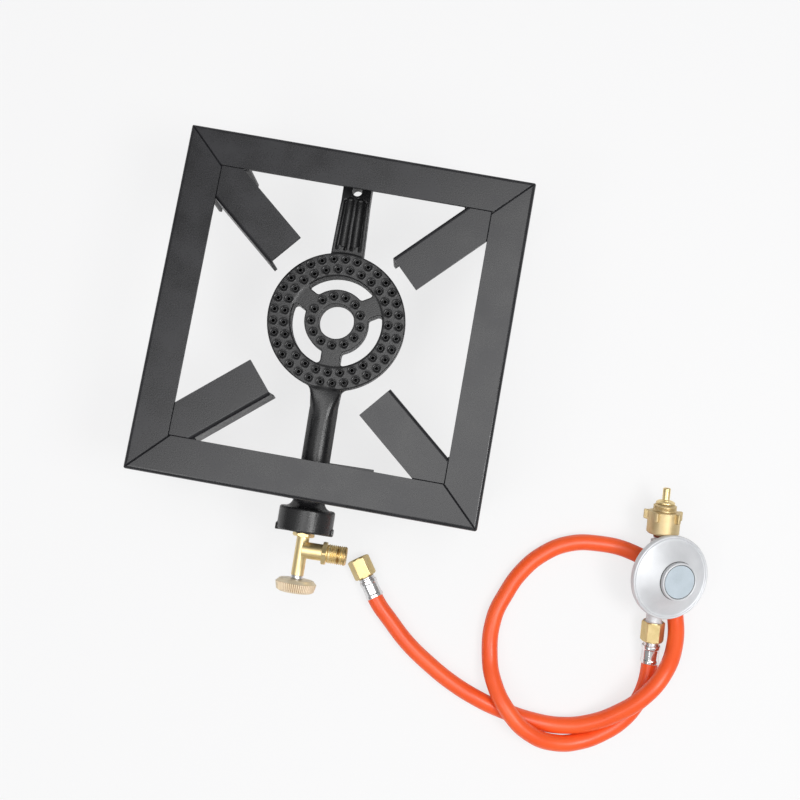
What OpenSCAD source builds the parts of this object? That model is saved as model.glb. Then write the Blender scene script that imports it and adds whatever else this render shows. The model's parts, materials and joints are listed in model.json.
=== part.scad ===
// Gas burner stand with its hose and pressure regulator. All sizes are in millimetres.
// The stand stands on the floor at z = 0, with its valve towards -Y. The burner, its valve
// and its rear bolt share one line, turned a little off the frame's own Y direction.

/* [Frame] */
// Outer side of the square frame
frame_size = 298.5; // [290:0.5:340]
// Height of the frame's top above the floor
frame_height = 140; // [130:1:220]
// Flange width of the angle iron
angle_width = 34; // [32:0.5:37]
// Top flange width of the front, right, back and left rail, after trimming
rail_widths = [33.5, 33, 31, 32]; // [28:0.5:37]
// How far the frame's outer corners are ground off, seen from above
corner_cut = 1.6; // [1:0.1:3]
// Wall of the angle iron
angle_wall = 3; // [2.6:0.1:3.6]
// Outer radius of the angle iron's bend
heel_radius = 3.5; // [3:0.1:5]
// Inner radius of the angle iron's bend
root_radius = 0.5; // [0.3:0.1:1]
// Depth of the grooves along the welded joints
weld_groove = 0.8; // [0.4:0.1:1.2]
// Length of a support arm's top flange from where it leaves the frame's corner
arm_length = 89.5; // [75:0.5:92]
// Distance from the frame's centre lines to the corner that the arms start from
arm_start = 116; // [110:0.5:118]
// How far each arm is welded off the diagonal, from the back right corner anticlockwise
arm_turns = [0, 5, -5, 5]; // [-6:0.5:6]
// How far each arm is set sideways off its corner, in the same order
arm_offsets = [0, -4.5, 5, 0]; // [-6:0.5:6]

/* [Burner] */
// How far the burner's line is turned off the frame's line, in degrees
burner_turn = 1.4; // [0:0.1:2]
// How far the ring's centre lies behind the frame's centre
burner_offset = 7.6; // [0:0.1:15]
// Gap between the mixer tube and the frame's flange above it
tube_gap = 1.3; // [1:0.1:4]
// Outer diameter of the mixer tube
tube_d = 25.4; // [22:0.1:26]
// Bore of the mixer tube
tube_bore = 18.6; // [14:0.1:19]
// Height of the ring's bridges above the tube's axis
land_rise = 16.6; // [15:0.1:20]
// Height of the outer ring's top above the bridges
plateau_step = 0.8; // [0.4:0.1:1.4]
// Height of the ring casting under its bridges' tops
ring_depth = 17.6; // [16:0.1:20]
// Outer diameter of the burner ring
ring_d = 121; // [118:0.5:123]
// Outer diameter of the three arc slots
slot_outer_d = 80; // [78:0.5:84]
// Inner diameter of the three arc slots
slot_inner_d = 56; // [54:0.5:58]
// Diameter of the air hole in the middle
hub_hole_d = 31; // [28:0.5:32]
// Width of the three bridges
bridge_width = 17; // [14:0.5:20]
// Radius of the slots' corners
slot_fillet = 3; // [1:0.1:4]
// Wall of the hollow casting
cast_wall = 4; // [3:0.1:4.4]
// Diameter of the raised seat round each gas port
port_seat_d = 6.8; // [5:0.1:7.2]
// Height of the raised seats
port_seat_height = 0.6; // [0.3:0.1:1]
// Diameter of a gas port
port_d = 3.2; // [2:0.1:3.4]
// Distance of a port's centre from the nearest edge of the ring
port_inset = 5.7; // [5.4:0.1:6]
// Ports in the outer, middle and inner rows
port_counts = [33, 27, 13]; // [6:1:36]

/* [Mixer mouth] */
// Gap between the frame's front face and the start of the mouth's flare
mouth_gap = 0.4; // [0.2:0.1:3]
// Outer diameter of the mouth
mouth_d = 49; // [44:0.5:54]
// Length of the mouth from the start of its flare to its rim
mouth_length = 27.5; // [24:0.5:34]
// Radius of the flare behind the mouth
flare_radius = 7; // [5:0.5:8]
// Wall of the mouth
mouth_wall = 3; // [2.4:0.1:4]
// Height of the bar across the mouth
bar_height = 12; // [11:0.5:16]
// Thickness of the bar across the mouth
bar_thickness = 6; // [4:0.5:8]
// How far the bar's ends stand out of the mouth's sides
bar_overhang = 0.8; // [0.6:0.1:2]
// How far the bar stands out of the mouth's rim
bar_proud = 1; // [0.5:0.1:2]

/* [Rear mount] */
// Thickness of the rear bracket
bracket_wall = 3; // [2:0.1:4]
// Width of the rear bracket
bracket_width = 30; // [24:1:40]
// Diameter of the rear bolt
bolt_d = 8; // [6:0.5:8]
// Size across the flats of the rear bolt's head
bolt_head_af = 13; // [11:0.5:14]
// Height of the rear bolt's head
bolt_head_height = 5.3; // [4:0.1:7]
// Outer diameter of the washer
washer_d = 16; // [14:0.5:18]
// Thickness of the washer
washer_wall = 1.6; // [1:0.1:2.5]
// Length of bolt that is screwed into the burner's tail
bolt_grip = 11; // [8:0.5:12]
// Height of the tail casting
tail_height = 17; // [14:0.5:18]
// Width of the tail where it leaves the ring
tail_root_width = 28.4; // [24:0.2:34]
// Width of the tail at its pad
tail_pad_width = 25.4; // [22:0.2:30]
// Length of the solid pad at the tail's end
tail_pad_length = 27; // [22:0.5:32]
// Diameter of the upright hole through the pad
tail_hole_d = 9; // [6:0.5:10]
// Distance of that hole's centre from the tail's end
tail_hole_inset = 18; // [17:0.5:20]
// Width of the ribs on the tail
tail_rib = 3; // [2:0.1:4]
// Depth of the grooves between the ribs
tail_groove_depth = 5; // [2:0.5:7]

/* [Tube strap] */
// Width of the strap along the tube
strap_width = 22; // [16:0.5:26]
// Thickness of the strap
strap_wall = 3; // [2:0.1:4]
// Reach of each ear from the tube's line
strap_reach = 53.6; // [40:0.2:60]
// Gap between the strap's sides and the tube
strap_gap = 0.3; // [0.1:0.05:0.6]

/* [Valve] */
// Diameter of the valve's nose, which goes through the bar
nose_d = 10; // [8:0.5:10]
// Size across the flats of the locknut
locknut_af = 17; // [14:0.5:19]
// Thickness of the locknut
locknut_wall = 3.5; // [2.5:0.1:5]
// Size across the flats of the gas jet
jet_af = 8; // [7:0.5:9]
// Diameter of the valve's body
body_d = 11; // [10.6:0.1:13]
// Length of the valve's body
body_length = 33.5; // [31:0.5:40]
// Bore of the valve's body
body_bore = 8.1; // [7.6:0.1:8.4]
// Distance of the side branch from the body's inner end
branch_offset = 11.3; // [10.5:0.1:13]
// Diameter of the side branch
branch_d = 14.4; // [13:0.1:16]
// Length of the side branch to its collar
branch_length = 18.6; // [14:0.1:24]
// Size across the flats of the branch's collar
collar_af = 19; // [18:0.5:22]
// Thickness of the branch's collar
collar_wall = 3.8; // [3:0.1:5]
// Outer diameter of the gas inlet's thread
inlet_thread_d = 16.66; // [14:0.01:17]
// Length of the gas inlet's thread
inlet_thread_length = 17.6; // [12:0.1:20]
// Bore of the gas inlet
inlet_bore = 8; // [6:0.1:10]
// Diameter of the spindle's stem
stem_d = 5.9; // [5:0.1:6.2]
// Radial clearance of the spindle in its bores
spindle_clearance = 0.05; // [0.03:0.01:0.08]
// Largest diameter of the hand knob
knob_d = 36; // [30:0.5:40]
// Diameter of the hand knob at its front
knob_front_d = 31; // [26:0.5:34]
// Length of the hand knob
knob_length = 11.1; // [8:0.1:14]
// Gap between the knob and the gland ring when the valve is shut
knob_gap = 0.5; // [0.4:0.1:1]
// Ridges round the hand knob
knob_ridges = 60; // [40:2:80]

/* [Hose] */
// Outer diameter of the hose
hose_d = 15.4; // [13:0.1:15.6]
// Bore of the hose
hose_bore = 8.6; // [7:0.1:9]
// Size across the flats of the union nuts
union_af = 19; // [18.5:0.5:20]
// Length of the union nuts
union_length = 19; // [17:0.5:20]
// Outer diameter of the crimped ferrules
ferrule_d = 17; // [16.5:0.1:18]
// Length of the crimped ferrules
ferrule_length = 17; // [14:0.5:18]
// Diameter of the hose tails' collars
tail_collar_d = 15; // [14:0.1:15.5]
// Length of the hose tails' collars behind the nuts
tail_collar_length = 4; // [3:0.1:5]

/* [Regulator] */
// Diameter of the regulator's flanged disc
disc_d = 78; // [74:0.5:84]
// Height of the disc's parting face above the pipe's axis
disc_rise = 18; // [17:0.1:20]
// Thickness of the disc's lower flange
disc_wall = 2.6; // [2:0.1:2.8]
// Height of the cover's cone above the parting face
cone_height = 13; // [12:0.5:20]
// Outer diameter of the cover's cap
cap_d = 35; // [34.5:0.5:40]
// Height of the cover's cap
cap_height = 4.5; // [4:0.1:7]
// Wall of the cover
cover_wall = 2.2; // [1.8:0.1:2.6]
// Diameter of the bare disc on the cap
badge_d = 31.4; // [28:0.1:32]
// Diameter of the outlet's neck
outlet_d = 14.3; // [13.5:0.1:15.5]
// Diameter of the hand nut's wheel
hand_nut_d = 29.8; // [28:0.1:30]
// Length of the hand nut's wheel
hand_nut_length = 21.2; // [18:0.1:24]
// Height of the lugs on the hand nut
lug_height = 3.85; // [2:0.05:5]
// Width of the lugs on the hand nut
lug_width = 3.6; // [2.5:0.1:5]
// Length of the lugs on the hand nut
lug_length = 10.2; // [6:0.1:14]
// Outer diameter of the hand nut's thread
hand_thread_d = 21.4; // [20:0.1:22]
// Diameter of the probe at the inlet
probe_d = 6.9; // [6:0.1:7.6]
// Length of the probe at the inlet
probe_length = 12; // [8:0.5:16]
// Turns of the regulator's spring
spring_turns = 4; // [3:1:6]

/* [Hidden] */
$fn = 48;
fine = 96;       // facets of large rounds
margin = 1;      // how far cutting shapes reach past what they cut

paint = "#2c2c2f";
iron = "#303033";
brass = "#c9a24a";
steel = "#c8c9cb";
die_cast = "#c9ccd0";
orange = "#f04a1c";

// ---- heights and places that follow from the sizes above ----
half_frame = frame_size / 2;
rail_edges = [for (width = rail_widths) half_frame - width];    // inner edges of the top flanges
leg_face = half_frame - angle_wall;             // inner face of the upright flanges
flange_bottom = frame_height - angle_width;
tube_z = flange_bottom - tube_gap - tube_d / 2; // height of the burner's axis

// burner, in its own frame: origin on the tube's axis under the ring's centre
ring_r = ring_d / 2;
slot_outer_r = slot_outer_d / 2;
slot_inner_r = slot_inner_d / 2;
hub_hole_r = hub_hole_d / 2;
ring_bottom = land_rise - ring_depth;
plateau_top = land_rise + plateau_step;
port_radii = [ring_r - port_inset, slot_outer_r + port_inset, (hub_hole_r + slot_inner_r) / 2];
port_phases = [0, 0.5, 0.5];                    // in pitches, counted from the tail's line
bridge_turns = [-90, 30, 150];
edge_round = 6;                                 // round under the ring's outer edge
flow_floor = ring_bottom + cast_wall;
flow_roof = land_rise - cast_wall - 1;
tail_end = (half_frame - angle_wall - bracket_wall - burner_offset) / cos(burner_turn);
tail_top = land_rise - 1.6;
pad_start = tail_end - tail_pad_length;
groove_start = ring_r + 3.5;
web_radius = 7;                                 // fillets between the tube and the ring
land_y = -(ring_r - 1);                         // where the tube's flare ends in the ring
kink_y = -(ring_r + 15.5);                      // where the flare starts
flare_width = 26.8;

// mouth and valve, along the burner's -Y
mouth_start = -(half_frame + burner_offset + mouth_gap) / cos(burner_turn);
mouth_rim = mouth_start - mouth_length;
bar_front = mouth_rim - bar_proud;
neck_r = tube_d / 2 + 1.3;
neck_length = 13;                               // swelling of the tube before the mouth
cup_floor = mouth_start - flare_radius - mouth_wall - 0.5;
nut_front = bar_front - locknut_wall;           // the valve body starts here
nose_tip = bar_front + bar_thickness + 8.5;
branch_y = nut_front - branch_offset;
body_front = nut_front - body_length;
gland_wall = 3;
gland_front = body_front - gland_wall;
knob_rear = gland_front - knob_gap;
knob_front = knob_rear - knob_length;
knob_chamfer = 3.2;
knob_play = 0.04;                               // how much wider the knob's bore is than the stem
spindle_r = body_bore / 2 - spindle_clearance;
spindle_back = body_front + 4;                  // fat part of the spindle, inside the body
spindle_front = spindle_back + 13;
seat_y = spindle_front + 9.5;
ring_groove = 2.2;
ring_groove_y = spindle_front - 4.5;
ring_section = 1.9;

// the stand's box is centred on the origin along Y
bolt_z = flange_bottom - 1 - washer_d / 2;
back_reach = leg_face + washer_wall + bolt_head_height;
front_reach = -knob_front * cos(burner_turn) + knob_front_d / 2 * sin(burner_turn) - burner_offset;
frame_y = (front_reach - back_reach) / 2;
tail_x = -(leg_face - bracket_wall - burner_offset) * tan(burner_turn);

// ---- hose set ----
nut_wall = 4;                                   // end wall of a union nut behind its thread
union_thread = 10;                              // tapped length of a union nut
thread_play = 0.3;                              // how much wider a tapped hole is than its thread
tail_nose = 14.2;                               // cone of a hose tail inside its nut
barb_d = 7.8;
union_z = union_af / 2 + 0.1;                   // the nuts lie on a flat
burner_nut_front = [51.5, -160.3, union_z];     // open end of the loose union nut
burner_nut_heading = -55;                       // the way from that nut to the hose
regulator_place = [331.3, -121.5, 25.4];
regulator_turns = [9.4, 18.4, 5.5];             // pitch, roll and heading
outlet_nut_turn = 33;                           // of its flats, about the pipe
first_lug = 1.4;                                // angle of a lug from +X, on the hand nut
outlet_thread_length = 9.6;
outlet_start = -47;                           // where the outlet nut begins, along the pipe
hose_sides = 10;
hose_lead = 6;                                  // straight hose past each ferrule

// Free run of the hose, from the burner end to the regulator
hose_run = [
    [91, -211, 8.5], [112, -230, 8], [136, -246, 8], [160, -259, 8], [186, -269, 9],
    [208, -275, 8], [242, -280, 8], [269, -279, 9], [293, -271, 14], [315, -256, 22.5],
    [333, -237, 31], [349, -212, 30.5], [358, -186, 19.5], [357, -160, 10.5], [349, -138, 8.5],
    [329, -117, 8], [307, -108, 8], [274, -106, 8], [248, -111, 8], [225, -125, 8], [207, -146, 8],
    [196, -169, 8], [189, -192, 9], [191, -229, 9.5], [198, -250, 16], [214, -272, 23],
    [237, -289, 21], [264, -295, 13.5], [288, -290, 9], [307, -279, 8.5], [323.5, -264, 8.5],
    [334, -246.5, 9], [339, -230, 9.5]
];

// regulator, in its own frame: origin on the pipe's axis under the disc's centre, inlet at +Y
disc_r = disc_d / 2;
body_bottom = -5;
chamber_floor = 5;
lever_floor = -3.5;                             // bottom of the hollow that the lever stands in
chamber_r = disc_r - 7;
boss_d = 20;
boss_start = 8;
boss_end = 36;
diaphragm_wall = 1.2;
diaphragm_r = disc_r - 4;
plate_wall = 1.5;
plate_top = disc_rise + diaphragm_wall / 2 + plate_wall;
cover_top = disc_rise + cone_height + cap_height;
badge_wall = 1.2;
badge_floor = cover_top - badge_wall - 0.5;
cap_bore_r = cap_d / 2 - 5.35;
spring_cap_wall = 3;
spring_top = badge_floor - 0.5 - spring_cap_wall;
spring_wire = 1.6;
spring_r = cap_bore_r - spring_wire / 2 - 0.35;
nozzle_y = 15.9;
pivot = [12.6, 7.2];                            // lever's pin, along Y and Z
pin_d = 2;
nipple_thread_d = 10;
shank_d = 12;
seal_wall = 1.4;
shank_start = 34.4;
hand_nut_start = boss_end + 0.4;
hand_nut_end = hand_nut_start + hand_nut_length;
hand_thread_length = 6.4;                       // the part that shows past the wheel
hand_thread_end = hand_nut_end + hand_thread_length;
probe_ring_d = 17.3;                            // collar between the thread and the probe
probe_ring_wall = 3.2;
probe_ring_start = hand_thread_end + 0.3;
probe_start = probe_ring_start + probe_ring_wall;

// ---- helpers ----
module at_frame() translate([0, frame_y, 0]) children();

module at_burner() at_frame() translate([0, burner_offset, tube_z]) rotate(burner_turn) children();

// a round bar along Y between two places
module bar_y(d, from, to, sides = $fn)
    translate([0, min(from, to), 0]) rotate([-90, 0, 0]) cylinder(d = d, h = abs(to - from), $fn = sides);

// a round bar along X between two places
module bar_x(d, from, to) translate([from, 0, 0]) rotate([0, 90, 0]) cylinder(d = d, h = to - from);

// a hexagonal bar along Y, with its corners towards +-X
module hex_y(af, from, to)
    translate([0, min(from, to), 0]) rotate([-90, 0, 0])
        cylinder(d = af / cos(30), h = abs(to - from), $fn = 6);

// a profile of [radius, y] points turned round the Y axis
module turned_y(sides = $fn) rotate([-90, 0, 0]) rotate_extrude($fn = sides) children();

function arc(centre, r, from, to, steps = 8) =
    [for (i = [0:steps]) let (a = from + (to - from) * i / steps) centre + r * [cos(a), sin(a)]];

// ---- frame ----
// section of the angle iron: x inwards from the outer face, y down from the top face
module angle_section(top = angle_width) {
    difference() {
        union() {
            translate([heel_radius, -angle_width]) square([top - heel_radius, angle_width]);
            translate([0, -angle_width]) square([angle_width, angle_width - heel_radius]);
            translate([heel_radius, -heel_radius]) circle(heel_radius);
        }
        translate([angle_wall + root_radius, -angle_width - margin])
            square([angle_width, angle_width - angle_wall + margin]);
        translate([angle_wall, -angle_width - margin])
            square([angle_width, angle_width - angle_wall - root_radius + margin]);
        translate([angle_wall + root_radius, -angle_wall - root_radius]) circle(root_radius);
    }
}

// a length of angle iron along +X, heel towards -Y, top face at z = 0
module angle_bar(length, top = angle_width) rotate([90, 0, 90]) linear_extrude(length) angle_section(top);

// a square bar on its edge, which cuts a groove along a weld
module weld_cut(length) rotate([45, 0, 0]) cube([length, weld_groove * sqrt(2), weld_groove * sqrt(2)], center = true);

// a rail, drawn as the front one: index counts front, right, back, left
module rail(index) {
    middle = half_frame - angle_width / 2;
    tip = half_frame - corner_cut / 2;          // where the mitre meets the ground-off corner
    start = half_frame - corner_cut - margin;
    color(paint) at_frame() translate([0, 0, frame_height]) rotate(90 * index) difference() {
        intersection() {
            translate([-half_frame, -half_frame, 0]) angle_bar(frame_size, rail_widths[index]);
            translate([0, 0, -frame_height]) linear_extrude(frame_height + margin)
                polygon([[0, 0], [-tip, -tip], [-start, -half_frame - margin],
                         [start, -half_frame - margin], [tip, -tip]]);
        }
        for (side = [-1, 1]) translate([side * middle, -middle, 0]) rotate(-side * 45) weld_cut(angle_width * 2);
    }
}

module leg(turn) {
    color(paint) at_frame() rotate(turn) translate([leg_face, leg_face, 0])
        linear_extrude(frame_height - angle_wall - root_radius) mirror([1, 0]) angle_section();
}

// the space inside the rails, with its top edges cut back for the welds
module inside_rails() {
    for_x = [rail_edges[3], rail_edges[1]];
    for_y = [rail_edges[0], rail_edges[2]];
    intersection() {
        rotate([90, 0, 0]) linear_extrude(frame_size, center = true) gap_between(for_x);
        rotate([90, 0, 90]) linear_extrude(frame_size, center = true) gap_between(for_y);
    }
}

// section of the space between two opposite rails
module gap_between(edges)
    polygon([[-edges[0], -angle_width - margin], [edges[1], -angle_width - margin],
             [edges[1], -weld_groove], [edges[1] - weld_groove, 0],
             [-edges[0] + weld_groove, 0], [-edges[0], -weld_groove]]);

module support_arm(index) {
    root = angle_width * 1.2;
    color(paint) at_frame() translate([0, 0, frame_height]) intersection() {
        rotate(45 + 90 * index) translate([arm_start * sqrt(2), 0, 0])
            rotate(180 + arm_turns[index])
                translate([-root, -angle_width / 2 + arm_offsets[index], 0]) angle_bar(root + arm_length);
        inside_rails();
    }
}

module rear_bracket() {
    bottom = bolt_z - washer_d / 2 - 3;
    top = frame_height - angle_wall - root_radius;
    color(paint) at_frame() difference() {
        translate([tail_x - bracket_width / 2, leg_face - bracket_wall, bottom])
            cube([bracket_width, bracket_wall, top - bottom]);
        translate([tail_x, 0, bolt_z]) bar_y(bolt_d + 0.6, leg_face - bracket_wall - margin, leg_face + margin);
    }
}

module rear_washer() {
    color(steel) at_frame() translate([tail_x, 0, bolt_z]) difference() {
        bar_y(washer_d, leg_face, leg_face + washer_wall);
        bar_y(bolt_d + 0.4, leg_face - margin, leg_face + washer_wall + margin);
    }
}

module rear_bolt() {
    head = leg_face + washer_wall;
    color(steel) at_frame() translate([tail_x, 0, bolt_z]) {
        bar_y(bolt_d, leg_face - bracket_wall - bolt_grip, head + 0.01);
        intersection() {
            hex_y(bolt_head_af, head, head + bolt_head_height);
            turned_y() polygon([[0, head - margin], [bolt_head_af, head - margin],
                [bolt_head_af, head + bolt_head_height - 2.4],
                [bolt_head_af / 2 - 0.4, head + bolt_head_height], [0, head + bolt_head_height]]);
        }
    }
}

// U-shaped strap that hangs the tube from the front rail
module tube_strap() {
    inner = tube_d / 2 + strap_gap;
    outer = inner + strap_wall;
    ear_top = frame_height - angle_wall - tube_z;
    front = -(rail_edges[0] + burner_offset) + 0.4 - strap_width;
    color(paint) at_burner() translate([0, front, 0]) rotate([90, 0, 0]) mirror([0, 0, 1])
        linear_extrude(strap_width) {
            for (side = [0, 1]) mirror([side, 0]) {
                translate([inner, 0]) square([strap_wall, ear_top]);
                translate([inner, ear_top - strap_wall]) square([strap_reach - inner, strap_wall]);
            }
            difference() {
                circle(outer, $fn = fine);
                circle(inner, $fn = fine);
                translate([-outer - margin, 0]) square([2 * (outer + margin), outer + margin]);
            }
        }
}

// ---- burner casting ----
// corner webs that round a slot's ends against one side of a bridge along +X
module slot_webs() {
    half = bridge_width / 2;
    f = slot_fillet;
    bite = 0.5;                                 // how far a web reaches into its neighbours
    outer_c = [sqrt(pow(slot_outer_r - f, 2) - pow(half + f, 2)), half + f];
    inner_c = [sqrt(pow(slot_inner_r + f, 2) - pow(half + f, 2)), half + f];
    outer_t = outer_c * (slot_outer_r + bite) / (slot_outer_r - f);
    inner_t = inner_c * (slot_inner_r - bite) / (slot_inner_r + f);
    outer_corner = sqrt(pow(slot_outer_r, 2) - pow(half, 2)) + bite;
    inner_corner = sqrt(pow(slot_inner_r, 2) - pow(half, 2)) - bite;
    for (side = [0, 1]) mirror([0, side]) {
        difference() {
            polygon([outer_c, [outer_c[0], half - bite], [outer_corner, half - bite], outer_t]);
            translate(outer_c) circle(f);
        }
        difference() {
            polygon([inner_c, inner_t, [inner_corner, half - bite], [inner_c[0], half - bite]]);
            translate(inner_c) circle(f);
        }
    }
}

module slots_2d() {
    difference() {
        circle(slot_outer_r, $fn = fine);
        circle(slot_inner_r, $fn = fine);
        for (turn = bridge_turns) rotate(turn) {
            translate([0, -bridge_width / 2]) square([slot_outer_r + margin, bridge_width]);
            slot_webs();
        }
    }
}

// the ring's outer form, turned round Z
module ring_solid() {
    chamfer = 0.7;
    rotate_extrude($fn = fine) {
        translate([0, ring_bottom]) square([ring_r - edge_round, land_rise - ring_bottom]);
        translate([0, ring_bottom + edge_round]) square([ring_r, land_rise - ring_bottom - edge_round]);
        translate([ring_r - edge_round, ring_bottom + edge_round]) circle(edge_round);
    }
    translate([0, 0, land_rise]) rotate_extrude($fn = fine)
        polygon([[slot_outer_r + 1, -margin], [ring_r, -margin], [ring_r, plateau_step - chamfer],
                 [ring_r - chamfer, plateau_step], [slot_outer_r + 1, plateau_step]]);
}

// gas way inside the ring: two circular channels joined through the bridges
module ring_flow() {
    height = flow_roof - flow_floor;
    translate([0, 0, flow_floor]) {
        for (band = [[hub_hole_r, slot_inner_r], [slot_outer_r, ring_r]]) difference() {
            cylinder(r = band[1] - cast_wall, h = height, $fn = fine);
            translate([0, 0, -margin]) cylinder(r = band[0] + cast_wall, h = height + 2 * margin, $fn = fine);
        }
        for (turn = bridge_turns) rotate(turn)
            translate([slot_inner_r - cast_wall - margin, cast_wall - bridge_width / 2, 0])
                cube([slot_outer_r - slot_inner_r + 2 * (cast_wall + margin), bridge_width - 2 * cast_wall, height]);
    }
}

module each_port(row) {
    for (i = [0:port_counts[row] - 1])
        rotate(90 + (i + port_phases[row]) * 360 / port_counts[row])
            translate([port_radii[row], 0, row == 2 ? land_rise : plateau_top]) children();
}

module tail_solid() {
    bottom = tail_top - tail_height;
    root = tail_root_width / 2;
    pad = tail_pad_width / 2;
    translate([0, 0, bottom]) linear_extrude(tail_height)
        polygon([[-root, ring_r - 8], [root, ring_r - 8], [root, groove_start], [pad, pad_start],
                 [pad, tail_end + margin], [-pad, tail_end + margin], [-pad, pad_start], [-root, groove_start]]);
}

module tail_grooves() {
    root = tail_root_width / 2 - tail_rib;
    pad = tail_pad_width / 2 - tail_rib;
    for (side = [0, 1]) mirror([side, 0, 0]) difference() {
        translate([0, 0, tail_top - tail_groove_depth]) linear_extrude(tail_groove_depth + margin)
            polygon([[tail_rib / 2, groove_start], [root, groove_start], [pad, pad_start], [tail_rib / 2, pad_start]]);
        translate([(root + tail_rib / 2) / 2, groove_start + 2.5, 0]) cylinder(d = 6, h = tail_top);
    }
}

// the tube with its mouth, and the flare that joins it to the ring
module tube_solid() {
    bar_y(tube_d, mouth_start + margin, kink_y, fine);
    hull() {
        bar_y(tube_d - 0.4, kink_y - 0.2, kink_y, 32);
        translate([-flare_width / 2, land_y, ring_bottom + 0.3])
            cube([flare_width, 0.5, tail_top - ring_bottom - 0.3]);
    }
    turned_y(fine) mouth_outline();
    web_x = flare_width / 2 + web_radius;
    web_y = sqrt(pow(ring_r + web_radius, 2) - pow(web_x, 2));
    reach = ring_r / (ring_r + web_radius);
    translate([0, 0, ring_bottom + edge_round]) linear_extrude(tail_top - 3 - ring_bottom - edge_round)
        for (side = [0, 1]) mirror([side, 0]) difference() {
            polygon([[flare_width / 2 - 3, land_y + 4], [flare_width / 2 - 3, -web_y],
                     [web_x, -web_y], [web_x * reach - 1, 3 - web_y * reach]]);
            translate([web_x, -web_y]) circle(web_radius);
        }
}

module mouth_outline() {
    y0 = mouth_start;
    r = flare_radius;
    corner = 2;
    out = mouth_d / 2;
    polygon(concat(
        [[0, y0 + neck_length + 2], [tube_d / 2, y0 + neck_length], [neck_r, y0 + 2]],
        arc([neck_r + r, y0], -r, 0, 90),
        arc([out - corner, y0 - r - corner], corner, 90, 0, 4),
        [[out, mouth_rim + 0.8], [out - 0.8, mouth_rim], [0, mouth_rim]]));
}

// what is hollow in the tube and the mouth
module tube_bore_cut() {
    inner = mouth_d / 2 - mouth_wall;
    r = flare_radius + mouth_wall + 0.5;
    throat = inner - r;
    bar_y(tube_bore, mouth_start, kink_y, fine);
    turned_y(fine) polygon(concat(
        [[0, mouth_start + 6], [tube_bore / 2, mouth_start + 5]],
        arc([inner, mouth_start], -r, 0, 90),
        [[inner, mouth_rim - margin], [0, mouth_rim - margin]]));
    translate([-(tube_bore / 2 - 1), kink_y - margin, flow_floor])
        cube([tube_bore - 2, -kink_y - ring_r + cast_wall + 3, tube_bore / 2 - 1 - flow_floor]);
}

module mouth_bar() {
    reach = mouth_d / 2 + bar_overhang;
    translate([-reach, bar_front, -bar_height / 2]) cube([2 * reach, bar_thickness, bar_height]);
}

module burner_casting() {
    color(iron) at_burner() difference() {
        union() {
            difference() {
                union() {
                    ring_solid();
                    tail_solid();
                    tube_solid();
                    for (row = [0:2]) each_port(row)
                        translate([0, 0, -margin]) cylinder(d = port_seat_d, h = port_seat_height + margin, $fn = 24);
                }
                translate([0, 0, ring_bottom - margin]) {
                    linear_extrude(ring_depth + 3 * margin) slots_2d();
                    cylinder(r = hub_hole_r, h = ring_depth + 3 * margin, $fn = fine);
                }
                ring_flow();
                tube_bore_cut();
                tail_grooves();
            }
            mouth_bar();
        }
        for (row = [0:2]) each_port(row)
            translate([0, 0, flow_floor + 3 - land_rise]) cylinder(d = port_d, h = land_rise, $fn = 16);
        bar_y(nose_d + 0.1, bar_front - margin, bar_front + bar_thickness + margin);
        translate([0, tail_end - tail_hole_inset, tail_top - tail_height - margin])
            cylinder(d = tail_hole_d, h = tail_height + 2 * margin);
        // the end face and the bolt's hole lie square to the rear rail
        rotate(-burner_turn) {
            translate([-frame_size / 2, leg_face - bracket_wall - burner_offset, -frame_height])
                cube([frame_size, frame_size, 2 * frame_height]);
            translate([tail_x, 0, bolt_z - tube_z])
                bar_y(bolt_d + 0.1, leg_face - bracket_wall - burner_offset - bolt_grip - 0.5, tail_end + margin);
        }
    }
}

// ---- valve ----
module valve_locknut() {
    color(brass) at_burner() difference() {
        hex_y(locknut_af, nut_front, bar_front);
        bar_y(nose_d + 0.1, nut_front - margin, bar_front + margin);
    }
}

module gas_jet() {
    start = nose_tip - 4.5;
    tip = nose_tip + 3.5;
    color(brass) at_burner() difference() {
        union() {
            bar_y(5, start, nose_tip);
            hex_y(jet_af, nose_tip, tip - 1);
            turned_y() polygon([[0, tip - 1], [jet_af / 2 - 0.5, tip - 1], [1.5, tip], [0, tip]]);
        }
        bar_y(2.4, start - margin, tip - 1.5);
        bar_y(0.8, start, tip + margin);
    }
}

module valve_body() {
    collar_start = branch_length;
    thread_start = collar_start + collar_wall;
    tip = thread_start + inlet_thread_length;
    color(brass) at_burner() difference() {
        union() {
            bar_y(nose_d, nut_front - margin, nose_tip);
            bar_y(body_d, body_front, nut_front);
            translate([0, branch_y, 0]) {
                bar_x(branch_d, 3, collar_start + 0.01);
                translate([collar_start, 0, 0]) rotate([0, 90, 0])
                    cylinder(d = collar_af / cos(30), h = collar_wall, $fn = 6);
                bar_x(inlet_thread_d, thread_start - 0.01, tip - 1.2);
                translate([tip - 1.2, 0, 0]) rotate([0, 90, 0])
                    cylinder(d1 = inlet_thread_d, d2 = inlet_thread_d - 2.2, h = 1.2);
            }
        }
        translate([0, branch_y, 0]) {
            bar_x(inlet_bore, 6, tip + margin);
            bar_x(3, 0, tip);
            translate([tip - 2.2, 0, 0]) rotate([0, 90, 0])
                cylinder(d1 = inlet_bore, d2 = inlet_bore + 4.6, h = 2.3);
        }
        bar_y(5, nose_tip - 5, nose_tip + margin);              // seat of the gas jet
        bar_y(3, seat_y - margin, nose_tip);                    // way to the jet
        bar_y(5.5, spindle_front - margin, seat_y);             // valve chamber
        bar_y(body_bore, body_front - margin, spindle_front + 1.5);
    }
}

module gland_ring() {
    color(steel) at_burner() difference() {
        bar_y(body_d - 0.5, gland_front, body_front);
        bar_y(stem_d + 2 * spindle_clearance, gland_front - margin, body_front + margin);
    }
}

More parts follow.
